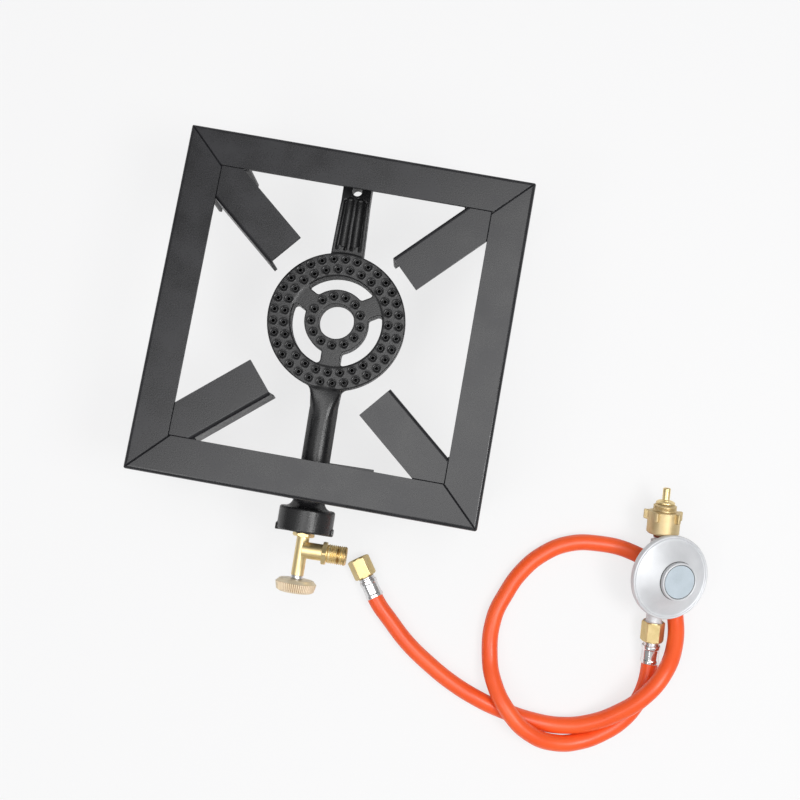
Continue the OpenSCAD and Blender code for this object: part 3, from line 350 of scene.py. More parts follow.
# %% Turned pieces
def rounded(outline, size, closed=True, steps=3):
    """Round the corners of an outline by a small distance in mm."""
    result = []
    count = len(outline)
    for i, corner in enumerate(outline):
        if not closed and i in (0, count - 1):
            result.append(tuple(corner))
            continue
        here = np.array(corner, float)
        before = np.array(outline[i - 1], float) - here
        after = np.array(outline[(i + 1) % count], float) - here
        reach = min(size, *(np.linalg.norm(way) * 0.45 for way in (before, after)))
        start = here + before / np.linalg.norm(before) * reach
        end = here + after / np.linalg.norm(after) * reach
        for t in np.linspace(0, 1, steps + 1):
            result.append(tuple((1 - t) ** 2 * start + 2 * t * (1 - t) * here + t * t * end))
    return result


def turned(name, outline, where, sides=96, shape=None, sharp=32, full_shade_depth=0):
    """Turn an outline of (radius, along) points about Y. It ends in poles, or closes on itself. How deep each
    point lies below the outline is kept as a mask for painted shade.
    """
    angles = np.arange(sides) * 2 * math.pi / sides
    points, rings, shade_depths = [], [], []
    for radius, along in outline:
        first = len(points)
        if radius < 1e-6:
            points.append((0, along, 0))
            shade_depths.append(0)
        else:
            for angle in angles:
                r, y = shape(radius, along, angle) if shape else (radius, along)
                points.append((r * math.cos(angle), y, r * math.sin(angle)))
                # painted shade mask: how deep this point lies below the outline, as a share of the full depth
                shade_depths.append(min(1, max(0, radius - r) / full_shade_depth) if full_shade_depth else 0)
        rings.append(range(first, len(points)))
    hollow = outline[0][0] > 1e-6
    faces = []
    for ring, following in zip(rings, rings[1:] + (rings[:1] if hollow else [])):
        for i in range(sides):
            j = (i + 1) % sides
            corners = [ring[i % len(ring)], ring[j % len(ring)],
                       following[j % len(following)], following[i % len(following)]]
            faces.append(list(dict.fromkeys(corners)))
    mesh = bpy.data.meshes.new(name)
    mesh.from_pydata([where @ (Vector(point) * MM) for point in points], [], faces)
    facing = bmesh.new()
    facing.from_mesh(mesh)
    bmesh.ops.recalc_face_normals(facing, faces=facing.faces)
    facing.to_mesh(mesh)
    facing.free()
    # the mask for the painted shade in thread roots and knurl valleys, which the finishes read
    mesh.attributes.new("hollow", "FLOAT", "POINT").data.foreach_set("value", shade_depths)
    return new_piece(name, mesh, sharp)


def hexagon(flats):
    """A shape function: a hexagon over its flats, with its corners just broken."""
    def shape(radius, along, angle):
        flat = flats / 2 / math.cos(angle % (math.pi / 3) - math.pi / 6)
        return min(radius, flat, flats / 2 / math.cos(math.pi / 6) - 0.2), along
    return shape


def thread(start, end, crest, pitch=1.34, depth=0.8):
    """Outline points and a shape function for a thread between two places along Y."""
    count = int((end - start) / pitch * 8)
    outline = [(crest, start + (end - start) * i / count) for i in range(count + 1)]

    def shape(radius, along, angle):
        if radius < crest - 0.01 or not start <= along <= end:
            return radius, along
        wave = 0.5 + 0.5 * math.cos(2 * math.pi * along / pitch - angle)
        ease = min(1, (along - start) / pitch, (end - along) / pitch)
        return radius - depth * ease * (1 - wave ** 0.7), along
    return outline, shape


# %% [markdown]
# Parts that aren't turned start from a copy of their CAD mesh. Plates and bars get bevelled
# edges. Castings are rebuilt from small voxels and smoothed, which rounds every edge and
# corner as a sand mould does, and the flat areas are then thinned out.

# %% Bevelled and cast copies of CAD parts
def merged_copy(name, node):
    """A copy of a CAD mesh with its loose triangles joined."""
    mesh = frame["nodes"][node].data.copy()
    mesh.name = name
    joined = bmesh.new()
    joined.from_mesh(mesh)
    bmesh.ops.remove_doubles(joined, verts=joined.verts, dist=2e-6)
    joined.to_mesh(mesh)
    joined.free()
    piece = bpy.data.objects.new(name, mesh)
    bpy.context.scene.collection.objects.link(piece)
    return piece


def bevelled_copy(name, node, width=0.5, segments=2):
    """A copy of a CAD part with flat faces joined up and its edges rounded."""
    piece = merged_copy(name, node)
    flat = bmesh.new()
    flat.from_mesh(piece.data)
    bmesh.ops.dissolve_limit(flat, angle_limit=math.radians(0.5), verts=flat.verts, edges=flat.edges)
    flat.to_mesh(piece.data)
    flat.free()
    bevel = piece.modifiers.new("edges", "BEVEL")
    bevel.width = width * MM
    bevel.segments = segments
    bevel.limit_method = "ANGLE"
    bevel.angle_limit = math.radians(35)
    return baked(piece, 40)


def cast_copy(name, node, voxel, smoothing, keep):
    """A copy of a CAD part with the rounded edges of a casting."""
    piece = merged_copy(name, node)
    remesh = piece.modifiers.new("voxels", "REMESH")
    remesh.mode = "VOXEL"
    remesh.voxel_size = voxel * MM
    smooth = piece.modifiers.new("skin", "SMOOTH")
    smooth.factor = 0.5
    smooth.iterations = smoothing
    thin = piece.modifiers.new("thin", "DECIMATE")
    thin.ratio = keep
    return baked(piece, 60)


# %% [markdown]
# A boolean modifier takes a cutter out of a piece, or unites two closed pieces.

# %% Cutting and joining
def combined(piece, other, operation, solver, sharp):
    """Cut the other piece out of the first one, or unite them; the other piece is used up."""
    boolean = piece.modifiers.new("boolean", "BOOLEAN")
    boolean.operation = operation
    boolean.object = other
    boolean.solver = solver
    piece = baked(piece, sharp)
    bpy.data.objects.remove(other)
    return piece


def carved(piece, cutter):
    return combined(piece, cutter, "DIFFERENCE", "MANIFOLD", 60)


# %% [markdown]
# ## The frame
# Rails, legs and arms are angle iron. Their cut edges are slightly rounded under the paint,
# and the joints are closed by weld beads, which Geometry Nodes lay along lines: the line is
# resampled, and each point carries one flattened drop with a random size.

# %% Angle iron, strap and bracket
iron_parts = ["rail_front", "rail_right", "rail_back", "rail_left", "leg_back_right", "leg_back_left",
              "leg_front_left", "leg_front_right", "arm_back_right", "arm_back_left",
              "arm_front_left", "arm_front_right", "tube_strap", "rear_bracket"]
for node in iron_parts:
    settle(bevelled_copy("painted_" + node, node, 0.5), node)


# %% [markdown]
# The tree for the beads has its sizes as named inputs. A modifier's input is set by the
# socket's identifier, which a small helper looks up by name.

# %% Geometry Nodes helpers
def start_tree(name, inputs):
    """A geometry tree with named inputs; returns the tree and its input and output nodes."""
    tree = bpy.data.node_groups.new(name, "GeometryNodeTree")
    for label, kind, value in inputs:
        socket = tree.interface.new_socket(name=label, in_out="INPUT", socket_type="NodeSocket" + kind)
        if value is not None:
            socket.default_value = value
    tree.interface.new_socket(name="Geometry", in_out="OUTPUT", socket_type="NodeSocketGeometry")
    return tree, tree.nodes.new("NodeGroupInput"), tree.nodes.new("NodeGroupOutput")


def add_tree(holder, tree, **values):
    """Add a geometry tree to an object and set its inputs by their identifiers."""
    modifier = holder.modifiers.new(tree.name, "NODES")
    modifier.node_group = tree
    for item in tree.interface.items_tree:
        label = item.name.replace(" ", "_").lower()
        if item.in_out == "INPUT" and label in values:
            modifier[item.identifier] = values[label]


# %% The weld bead tree
bead_tree, given, result = start_tree("weld_beads", [
    ("Geometry", "Geometry", None), ("Spacing", "Float", 0.0012), ("Size", "Float", 0.0016),
    ("Seed", "Int", 4), ("Finish", "Material", None)])
node = bead_tree.nodes.new
link = bead_tree.links.new
lines = node("GeometryNodeMeshToCurve")
steps = node("GeometryNodeResampleCurve")
steps.mode = "LENGTH"
drop = node("GeometryNodeMeshIcoSphere")
drop.inputs["Subdivisions"].default_value = 2
placed = node("GeometryNodeInstanceOnPoints")
sizes = node("FunctionNodeRandomValue")
sizes.data_type = "FLOAT_VECTOR"
sizes.inputs["Min"].default_value = (0.85, 0.85, 0.75)
sizes.inputs["Max"].default_value = (1.15, 1.15, 1.0)
real = node("GeometryNodeRealizeInstances")
coated = node("GeometryNodeSetMaterial")
link(given.outputs["Geometry"], lines.inputs["Mesh"])
link(lines.outputs["Curve"], steps.inputs["Curve"])
link(given.outputs["Spacing"], steps.inputs["Length"])
link(given.outputs["Size"], drop.inputs["Radius"])
link(given.outputs["Seed"], sizes.inputs["Seed"])
link(steps.outputs["Curve"], placed.inputs["Points"])
link(drop.outputs["Mesh"], placed.inputs["Instance"])
link(sizes.outputs["Value"], placed.inputs["Scale"])
link(placed.outputs["Instances"], real.inputs["Geometry"])
link(real.outputs["Geometry"], coated.inputs["Geometry"])
link(given.outputs["Finish"], coated.inputs["Material"])
link(coated.outputs["Geometry"], result.inputs["Geometry"])

# %% [markdown]
# The beads lie where the real ones do: under the mitred corners, along the lower edges of the rails on each
# leg, and under the arms' roots.

# %% Weld beads
flange, wall = 34, 3
half_frame = span_of("rail_right", at_stand, 0)[1]
top = span_of("rail_front", at_stand, 2)[1]
inner_x = {-1: -span_of("rail_left", at_stand, 0)[1], 1: span_of("rail_right", at_stand, 0)[0]}
inner_y = {-1: -span_of("rail_front", at_stand, 1)[1], 1: span_of("rail_back", at_stand, 1)[0]}
leg_face = half_frame - wall
under, low = top - wall - 0.2, top - flange - 0.2
arm_root = 22
weld_lines = []
for sx in (-1, 1):
    for sy in (-1, 1):
        edge_x, edge_y = inner_x[sx], inner_y[sy]
        weld_lines.append(((sx * (edge_x + 1), sy * (edge_y + 1), under),
                           (sx * (leg_face - 2), sy * (leg_face - 2), under)))
        weld_lines.append(((sx * (leg_face + 0.4), sy * (leg_face - 2), low),
                           (sx * (leg_face + 0.4), sy * (leg_face - flange + 1), low)))
        weld_lines.append(((sx * (leg_face - 2), sy * (leg_face + 0.4), low),
                           (sx * (leg_face - flange + 1), sy * (leg_face + 0.4), low)))
        weld_lines.append(((sx * edge_x, sy * (edge_y - 2), under + 0.4),
                           (sx * edge_x, sy * (edge_y - arm_root), under + 0.4)))
        weld_lines.append(((sx * (edge_x - 2), sy * edge_y, under + 0.4),
                           (sx * (edge_x - arm_root), sy * edge_y, under + 0.4)))
weld_mesh = bpy.data.meshes.new("weld_lines")
weld_mesh.from_pydata([at_stand @ (Vector(point) * MM) for line in weld_lines for point in line],
                      [(2 * i, 2 * i + 1) for i in range(len(weld_lines))], [])
welds = bpy.data.objects.new("weld_beads", weld_mesh)
bpy.context.scene.collection.objects.link(welds)
add_tree(welds, bead_tree, spacing=0.0013, size=0.0015, seed=4, finish=frame_paint)
welds = baked(welds, 70)
settle(welds, slot="frame_paint", body="root")
print(len(weld_lines), "welds")

# %% [markdown]
# ## Rear bolt
# A zinc plated hexagon bolt and its washer hold the tail of the burner at the back.

# %% Rear bolt and washer
for node, width in (("rear_bolt", 0.35), ("rear_washer", 0.2)):
    settle(bevelled_copy("plated_" + node, node, width), node)

# %% [markdown]
# ## The burner casting
# The burner is one sand casting: two rings joined by three bridges, the mixing tube, its
# bell mouth with a bar, and the ribbed tail. Its copy is rebuilt from voxels of about half a
# millimetre, so that every edge is as soft as on the real casting.

# %% Burner casting
casting = cast_copy("burner_ring_casting", "burner_casting", 0.55, 4, 0.28)
print("casting", len(casting.data.polygons), "faces")

# %% [markdown]
# The tail's two grooves are round at the bottom, and the tube's edges soften where it runs
# into the ring. A cutter takes each groove's floor down in an arc, and a vertex group limits
# a long smoothing to the neck.

# %% Round grooves and a smooth neck
groove_outline = [(0, 66.5), (3.2, 67), (4.7, 69), (4.2, 110), (2.8, 112), (0, 112.5)]
groove_x, groove_z, groove_taper = 6.3, 12.1, 0.9
for side in (-1, 1):
    along_groove = frame_at((side * groove_x, 0, groove_z), (0, 0, side * groove_taper))
    casting = carved(casting, turned("groove_cutter", groove_outline, at_burner @ along_groove, sides=48))
neck = casting.vertex_groups.new(name="neck")
neck_middle, neck_reach, neck_passes = Vector((0, -69, 14)), 15, 260
to_burner = at_burner.inverted()
for vertex in casting.data.vertices:
    away = (to_burner @ vertex.co) / MM - neck_middle
    weight = 1 - away.length / neck_reach
    if weight > 0:
        neck.add([vertex.index], min(1, 2 * weight), "REPLACE")
soften = casting.modifiers.new("neck", "SMOOTH")
soften.vertex_group = "neck"
soften.factor = 0.5
soften.iterations = neck_passes
casting = baked(casting, 60)

# %% [markdown]
# The gas ports stand on raised seats, in three rings. One seat is turned as a small crown
# with its hole. A geometry tree puts a piece on every point of a circle and turns it
# outwards, so the same tree also serves for the lugs of the hand nut.

# %% The ring-of-pieces tree
ring_tree, given, result = start_tree("ring_of_pieces", [
    ("Count", "Int", 12), ("Radius", "Float", 0.01), ("Phase", "Float", 0.0), ("Height", "Float", 0.0),
    ("Piece", "Object", None), ("Finish", "Material", None)])
node = ring_tree.nodes.new
link = ring_tree.links.new
circle = node("GeometryNodeMeshCircle")
source = node("GeometryNodeObjectInfo")
index = node("GeometryNodeInputIndex")
full_turn = node("ShaderNodeMath")
full_turn.operation = "DIVIDE"
full_turn.inputs[0].default_value = 2 * math.pi
angle = node("ShaderNodeMath")
angle.operation = "MULTIPLY"
outwards = node("ShaderNodeCombineXYZ")
placed = node("GeometryNodeInstanceOnPoints")
phase = node("ShaderNodeCombineXYZ")
lift = node("ShaderNodeCombineXYZ")
moved = node("GeometryNodeTransform")
real = node("GeometryNodeRealizeInstances")
coated = node("GeometryNodeSetMaterial")
link(given.outputs["Count"], circle.inputs["Vertices"])
link(given.outputs["Radius"], circle.inputs["Radius"])
link(given.outputs["Piece"], source.inputs["Object"])
link(given.outputs["Count"], full_turn.inputs[1])
link(index.outputs["Index"], angle.inputs[0])
link(full_turn.outputs[0], angle.inputs[1])
link(angle.outputs[0], outwards.inputs["Z"])
link(circle.outputs["Mesh"], placed.inputs["Points"])
link(source.outputs["Geometry"], placed.inputs["Instance"])
link(outwards.outputs["Vector"], placed.inputs["Rotation"])
link(given.outputs["Phase"], phase.inputs["Z"])
link(given.outputs["Height"], lift.inputs["Z"])
link(placed.outputs["Instances"], moved.inputs["Geometry"])
link(phase.outputs["Vector"], moved.inputs["Rotation"])
link(lift.outputs["Vector"], moved.inputs["Translation"])
link(moved.outputs["Geometry"], real.inputs["Geometry"])
link(real.outputs["Geometry"], coated.inputs["Geometry"])
link(given.outputs["Finish"], coated.inputs["Material"])
link(coated.outputs["Geometry"], result.inputs["Geometry"])


def ring_of(name, template, where, count, radius, phase_degrees, height, coat):
    """Repeat a template round a ring in mm, and bake the result at its place."""
    mesh = bpy.data.meshes.new(name)
    piece = bpy.data.objects.new(name, mesh)
    bpy.context.scene.collection.objects.link(piece)
    add_tree(piece, ring_tree, count=count, radius=radius * MM, phase=math.radians(phase_degrees),
             height=height * MM, piece=template, finish=coat)
    piece = baked(piece, 35)
    piece.data.transform(where)
    return piece


# %% Port seats
seat_outline = rounded([(1.4, -2.5), (1.4, 0.45), (1.65, 0.75), (2.15, 0.75), (2.95, -0.4),
                        (2.95, -1.2), (2.4, -2.5)], 0.16, steps=2)
port_seat = turned("port_seat", seat_outline, upright, sides=20)
plateau, inner_land = 17.4, 16.6
port_rows = [("outer", 33, 54.8, 0.0, plateau), ("middle", 27, 45.7, 0.5, plateau),
             ("inner", 13, 21.75, 0.5, inner_land)]
for row, count, radius, pitches, height in port_rows:
    seats = ring_of("port_seats_" + row, port_seat, at_burner, count, radius,
                    90 + pitches * 360 / count, height, cast_paint)
    settle(seats, slot="cast_iron", body="root")
bpy.data.objects.remove(port_seat)

# %% [markdown]
# The holes themselves are drilled: the same tree repeats a stepped drill round each row, and a
# boolean takes the drills out of the casting, down into its hollow gas way. The step leaves a
# narrow moat round every crown, as the pattern of the real casting does.

# %% Drill the ports
drill = turned("drill", [(0, 1.2), (3.75, 1.2), (3.65, -0.45), (1.5, -0.45), (1.5, -5.8), (0, -5.8)],
               upright, sides=24)
for row, count, radius, pitches, height in port_rows:
    drills = ring_of("drills_" + row, drill, at_burner, count, radius,
                     90 + pitches * 360 / count, height, cast_paint)
    casting = carved(casting, drills)
bpy.data.objects.remove(drill)
settle(casting, "burner_casting")

# %% [markdown]
# ## The valve
# The locknut, jet, body and gland ring are turned brass and steel. The body has a branch to
# the side with a hexagon collar and the gas thread. Body and branch are two turned solids
# that a boolean joins into one.

# %% Locknut, jet and gland ring
bar_front = span_of("burner_casting", at_burner, 1)[0]
nut_front = bar_front - 3.5
body_front = nut_front - 33.5
gland_front = body_front - 3
locknut_flats, jet_flats = 17, 8
locknut_outline = rounded([(5.1, bar_front), (8.5, bar_front), (9.7, bar_front - 0.8),
                           (9.7, nut_front + 0.8), (8.5, nut_front), (5.1, nut_front)], 0.15)
settle(turned("brass_locknut", locknut_outline, at_burner, shape=hexagon(locknut_flats)), "valve_locknut")
jet_start = bar_front + 10
jet_outline = rounded([(0.4, jet_start + 8), (1.5, jet_start + 8), (3.6, jet_start + 7),
                       (4.5, jet_start + 6.4), (4.5, jet_start + 4.5), (2.5, jet_start + 4.5),
                       (2.5, jet_start), (1.2, jet_start), (1.2, jet_start + 6),
                       (0.4, jet_start + 6.6)], 0.12)
settle(turned("brass_gas_jet", jet_outline, at_burner, sides=48, shape=hexagon(jet_flats)), "gas_jet")
gland_outline = rounded([(3.0, gland_front), (5.25, gland_front), (5.25, body_front),
                         (3.0, body_front)], 0.35)
settle(turned("bright_gland_ring", gland_outline, at_burner), "gland_ring")

# %% Valve body with its branch
nose_tip = bar_front + 14.5
body_outline = rounded([(2.6, nose_tip), (4.6, nose_tip), (5.0, nose_tip - 0.5), (5.0, nut_front),
                        (5.5, nut_front), (5.5, body_front), (4.05, body_front), (4.05, body_front + 18.5),
                        (2.75, body_front + 18.5), (2.75, body_front + 26), (1.5, body_front + 27),
                        (1.5, nose_tip - 5), (2.6, nose_tip - 5)], 0.25)
valve_trunk = turned("brass_valve_body", body_outline, at_burner)
collar_start, collar_end = 18.6, 22.4
thread_start, thread_end = collar_end + 1.6, 38.6
thread_crest, thread_depth = 8.33, 0.9
ridges, ridge_shape = thread(thread_start, thread_end, thread_crest, pitch=1.8, depth=thread_depth)
nut_flats = 19
collar_shape = hexagon(nut_flats)


def branch_shape(radius, along, angle):
    if collar_start - 0.1 <= along <= collar_end + 0.1:
        return collar_shape(radius, along, angle + math.pi / 6)
    return ridge_shape(radius, along, angle)


branch_outline = (rounded([(1.5, 1.0), (7.2, 1.0), (7.2, collar_start), (9.6, collar_start),
                           (10.9, collar_start + 0.7), (10.9, collar_end - 0.7), (9.6, collar_end),
                           (7.5, collar_end), (7.5, thread_start - 0.6)], 0.2, closed=False)
                  + ridges
                  + rounded([(8.0, 39.2), (7.2, 40.0), (6.2, 40.0), (4.0, 37.8), (4.0, 6.0), (1.5, 6.0)],
                            0.15, closed=False))
branch_y = nut_front - 11.3
# the thread depth also sets how soon the painted shade fills its roots
valve_branch = turned("valve_branch", branch_outline, at_burner @ frame_at((0, branch_y, 0)) @ sideways,
                      shape=branch_shape, full_shade_depth=thread_depth)
settle(combined(valve_trunk, valve_branch, "UNION", "EXACT", 32), "valve_body")

# %% [markdown]
# The hand knob is knurled. Its ridges are straight, follow the taper to the front, and fade
# out in a smooth chamfer at the back, so the knurl is a shape function of the angle.

# %% Spindle, hand knob and its screw
knob_rear, knob_front = gland_front - 0.5, gland_front - 11.6
knob_ridges, knob_chamfer, knurl_depth = 60, 3.2, 0.75


def knurl(radius, along, angle):
    if radius < 14 or along > knob_rear - knob_chamfer + 0.4:
        return radius, along
    ridge = abs(math.sin(angle * knob_ridges / 2)) ** 0.8
    return radius - knurl_depth * (1 - ridge), along


knob_outline = rounded([(2.95, knob_rear), (18 - knob_chamfer, knob_rear),
                        (17.6, knob_rear - knob_chamfer + 0.4), (17.95, knob_rear - knob_chamfer),
                        (16.4, knob_front + 1.5), (15.4, knob_front + 0.9), (13.6, knob_front),
                        (4.6, knob_front), (3.4, knob_front + 1.5), (1.35, knob_front + 1.6),
                        (1.35, knob_front + 3), (2.95, knob_front + 3)], 0.25)
# the knurl depth also sets how soon the painted shade fills its valleys
knob = turned("knurled_hand_knob", knob_outline, at_burner, sides=480, shape=knurl, sharp=50,
              full_shade_depth=knurl_depth)
settle(knob, "valve_knob")
settle(bevelled_copy("slotted_knob_screw", "knob_screw", 0.15), "knob_screw")
settle(bevelled_copy("steel_spindle", "valve_spindle", 0.15), "valve_spindle")

# %% [markdown]
# ## Hose ends
# Both ends of the hose are alike: a brass union nut, the bright collar of the hose tail, and
# a crimped steel sleeve whose waist is pressed in eight places.

# %% Union nuts, tails and crimped sleeves
nut_length, collar_length, sleeve_length = 19, 4, 17
sleeve_front = -nut_length - collar_length
sleeve_end = sleeve_front - sleeve_length
nut_thread, nut_ridges = thread(-9.4, -1.2, 8.48, depth=-0.55)


def nut_shape(radius, along, angle):
    if radius > 8.6:
        return hexagon(nut_flats)(radius, along, angle)
    return nut_ridges(radius, along, angle)


def crimp(radius, along, angle):
    pressed = sleeve_end + 3.6 < along < sleeve_front - 3.6 and radius > 7.9
    return (radius - 0.22 * (0.5 + 0.5 * math.cos(8 * angle)) if pressed else radius), along


nut_outline = (rounded([(8.9, -0.4), (9.3, 0), (11.2, -1.1), (11.2, 1.1 - nut_length), (9.6, -nut_length),
                        (6.1, -nut_length), (6.1, 4 - nut_length), (7.6, 4 - nut_length), (7.6, -10.2),
                        (8.48, -9.9)], 0.15, closed=False) + nut_thread)
tail_outline = rounded([(2.5, -10), (4.0, -10), (7.1, -13), (7.1, -14.7), (6.0, -14.8), (6.0, -19.3),
                        (7.0, -19.4), (7.5, -19.9), (7.5, -20.7), (6.9, -21.0), (6.9, -21.4), (7.5, -21.7),
                        (7.5, sleeve_front), (3.9, sleeve_front), (3.9, sleeve_end), (2.5, sleeve_end)], 0.18)
sleeve_outline = rounded([(7.75, sleeve_front), (8.2, sleeve_front), (8.5, sleeve_front - 0.4),
                          (8.5, sleeve_front - 2.9), (8.1, sleeve_front - 3.9), (8.1, sleeve_end + 3.9),
                          (8.5, sleeve_end + 2.9), (8.5, sleeve_end + 0.4), (8.2, sleeve_end),
                          (7.75, sleeve_end)], 0.3)
ends = [("burner_end", "burner_end_nut", at_burner_nut), ("outlet_end", "outlet_nut", at_outlet)]
for end, nut_node, where in ends:
    union = turned("brass_union_" + end, nut_outline, where, shape=nut_shape)
    settle(union, nut_node)
    union.data.materials[0] = nut_brass
    settle(turned("hose_tail_" + end, tail_outline, where), end + "_tail")
    settle(turned("crimped_sleeve_" + end, sleeve_outline, where, shape=crimp), end + "_ferrule")

# %% [markdown]
# ## The regulator
# The regulator is a flat die cast body with a pressed cover: a rim bead, a cone with a faint
# seam, and a cap with a plain disc. The cover is turned, and the body below, with its two
# bosses, is a cast copy.

# %% Regulator body
regulator = cast_copy("die_cast_regulator_body", "regulator_body", 0.5, 3, 0.3)
waist_outline = [(7.6, 30.5), (12, 29.5), (12, 37), (7.6, 37)]
regulator = carved(regulator, turned("waist_cutter", waist_outline, at_regulator))
settle(regulator, "regulator_body")

# %% Regulator cover
at_cover = at_regulator @ upright
disc_r, disc_rise, cap_r = 39, 18, 17.5
cone_top = disc_rise + 13
cover_top = cone_top + 4.5
cone_start = disc_r - 4
badge_floor = cover_top - 1.7
seam_at, seam_width, seam_height = math.radians(128), 0.5, 0.28


def seam(radius, along, angle):
    near = max(0, 1 - abs(angle - seam_at) * radius / seam_width)
    on_cone = cap_r + 0.7 < radius < cone_start and along > disc_rise + 3
    return radius, along + (seam_height * near if on_cone else 0)


cone_points = [(cone_start + (cap_r + 0.1 - cone_start) * t,
                disc_rise + 2 + (cone_top - disc_rise - 2) * t - 0.6 * math.sin(math.pi * t))
               for t in np.linspace(0.02, 0.98, 14)]
inner_face = [(0, badge_floor - 1.2), (12.1, badge_floor - 1.2), (12.1, cone_top - 3), (16.6, cone_top - 3.2),
              (disc_r - 7, 18.7), (disc_r - 3.8, 18.6)]
rim_bead = [(disc_r - 3.8, disc_rise), (disc_r, disc_rise), (disc_r, 20.0), (disc_r - 0.5, 21.1),
            (disc_r - 1.3, 21.35), (disc_r - 2.1, 21.1), (disc_r - 2.6, 20.2), (disc_r - 3.3, 19.9),
            (disc_r - 3.7, 20.0)]
cap = [(cap_r + 0.1, cone_top + 0.2), (cap_r, cone_top + 1), (cap_r, cover_top - 0.5),
       (cap_r - 0.5, cover_top), (cap_r - 1.2, cover_top), (cap_r - 1.75, cover_top - 0.4),
       (cap_r - 1.75, badge_floor), (0, badge_floor)]
cover_outline = (rounded(inner_face + rim_bead, 0.2, closed=False) + cone_points
                 + rounded(cap, 0.22, closed=False))
cover = turned("pressed_regulator_cover", cover_outline, at_cover, sides=240, shape=seam, sharp=40)
settle(cover, "regulator_cover")

# %% [markdown]
# The disc sits in the cap's recess. A thin dark ring paints the shadow in the narrow gap round it, and
# another one paints the shadow at the cap's foot on the cone.

# %% Plain disc and painted shadow lines
badge_r = cap_r - 2.3
badge_outline = rounded([(0, badge_floor), (badge_r, badge_floor), (badge_r, badge_floor + 1.2),
                         (0, badge_floor + 1.2)], 0.35, closed=False)
settle(turned("plain_badge", badge_outline, at_cover, sides=128), "badge_disc")
shadow_line_height = 0.6
painted_shadow_lines = [("badge_edge_line", badge_r + 0.05, cap_r - 1.7, badge_floor + 0.2),
               ("cap_foot_line", cap_r - 0.1, cap_r + 0.45, cone_top - 0.1)]
# painted shadow: thin black rings stand in for the shade in the gap round the disc and at the cap's foot
for line, inner_r, outer_r, foot in painted_shadow_lines:
    head = foot + shadow_line_height
    shadow_line_outline = [(inner_r, foot), (outer_r, foot), (outer_r, head), (inner_r, head)]
    settle(turned(line, shadow_line_outline, at_cover, sides=128), "regulator_cover", slot="black_rubber")

# %% [markdown]
# ## Cylinder connection
# The nipple ends in stepped rings and a pin that opens the gas cylinder's valve. The hand
# nut turns on it. Its wheel and thread are turned, and five rounded lugs stand round it.

# %% Nipple
shank_start = 34.4
nipple_outline = rounded([(0.7, 15.9), (1.6, 15.9), (2.6, 17.9), (5, 18.4), (5, shank_start),
                          (6, shank_start), (6, 64.3), (8.3, 64.3), (8.65, 64.9), (8.65, 66.1),
                          (6.9, 67.5), (5.6, 67.5), (5.6, 67.9), (4.3, 67.9), (3.45, 68.6),
                          (3.45, 78.9), (2.9, 79.5), (1.5, 79.5), (1.5, 17.9), (0.7, 17.6)], 0.18)
settle(turned("probe_nipple", nipple_outline, at_regulator), "inlet_nipple")

# %% Hand nut
wheel_start, wheel_end, thread_tip = 36.4, 57.6, 64.0
hand_ridges, hand_shape = thread(58.6, 63.0, 10.7, pitch=1.5, depth=0.7)
wheel = [(6.05, thread_tip), (6.05, wheel_start), (13.4, wheel_start), (14.9, wheel_start + 1.4),
         (14.9, wheel_end - 0.6), (14.3, wheel_end), (9.9, wheel_end), (9.9, 58.4)]
tip = [(9.9, 63.3), (9.3, thread_tip), (6.05, thread_tip)]
hand_outline = rounded(wheel, 0.3, closed=False) + hand_ridges + rounded(tip, 0.1, closed=False)[:-1]
hand_nut = turned("hand_nut_wheel", hand_outline, at_regulator, shape=hand_shape)
lug_depth, lug_width, lug_length = 5.4, 3.4, 9.8
lug_slant, lug_edge = 1.2, 0.9
lug_mesh = bpy.data.meshes.new("lug")
shaper = bmesh.new()
bmesh.ops.create_cube(shaper, size=1)
bmesh.ops.scale(shaper, vec=Vector((lug_depth, lug_width, lug_length)) * MM, verts=shaper.verts)
for corner in shaper.verts:
    if corner.co.x > 0 and corner.co.z < 0:
        corner.co.z += lug_slant * MM
bmesh.ops.translate(shaper, vec=Vector((0.2, 0, -lug_length / 2)) * MM, verts=shaper.verts)
bmesh.ops.bevel(shaper, geom=shaper.edges[:], offset=lug_edge * MM, segments=3, affect="EDGES", profile=0.5)
shaper.to_mesh(lug_mesh)
shaper.free()
lug = new_piece("lug", lug_mesh)
lug_count, lug_ring_r, first_lug = 5, 15.8, -1.4
at_lugs = at_regulator @ frame_at((0, wheel_end, 0), (-90, 0, 0))
lugs = ring_of("hand_nut_lugs", lug, at_lugs, lug_count, lug_ring_r, first_lug, 0, hand_nut_brass)
bpy.data.objects.remove(lug)
settle(hand_nut, "inlet_hand_nut")
settle(lugs, slot="hand_nut_brass", body="hand_nut")

# %% [markdown]
# ## The hose
# The hose set stands beside the stand. The hose leaves the regulator's outlet, and its other end is the loose
# union nut.

settle(hose, "hose")

# %% [markdown]
# ## Studio
# A plain pale floor, two soft boxes, and a sky that is bright on the right and dim at the back
# left, so that flat paint changes from dark to grey across the frame. The floor is partly lit
# by itself for the camera, which keeps it near white but leaves the shadow on it.

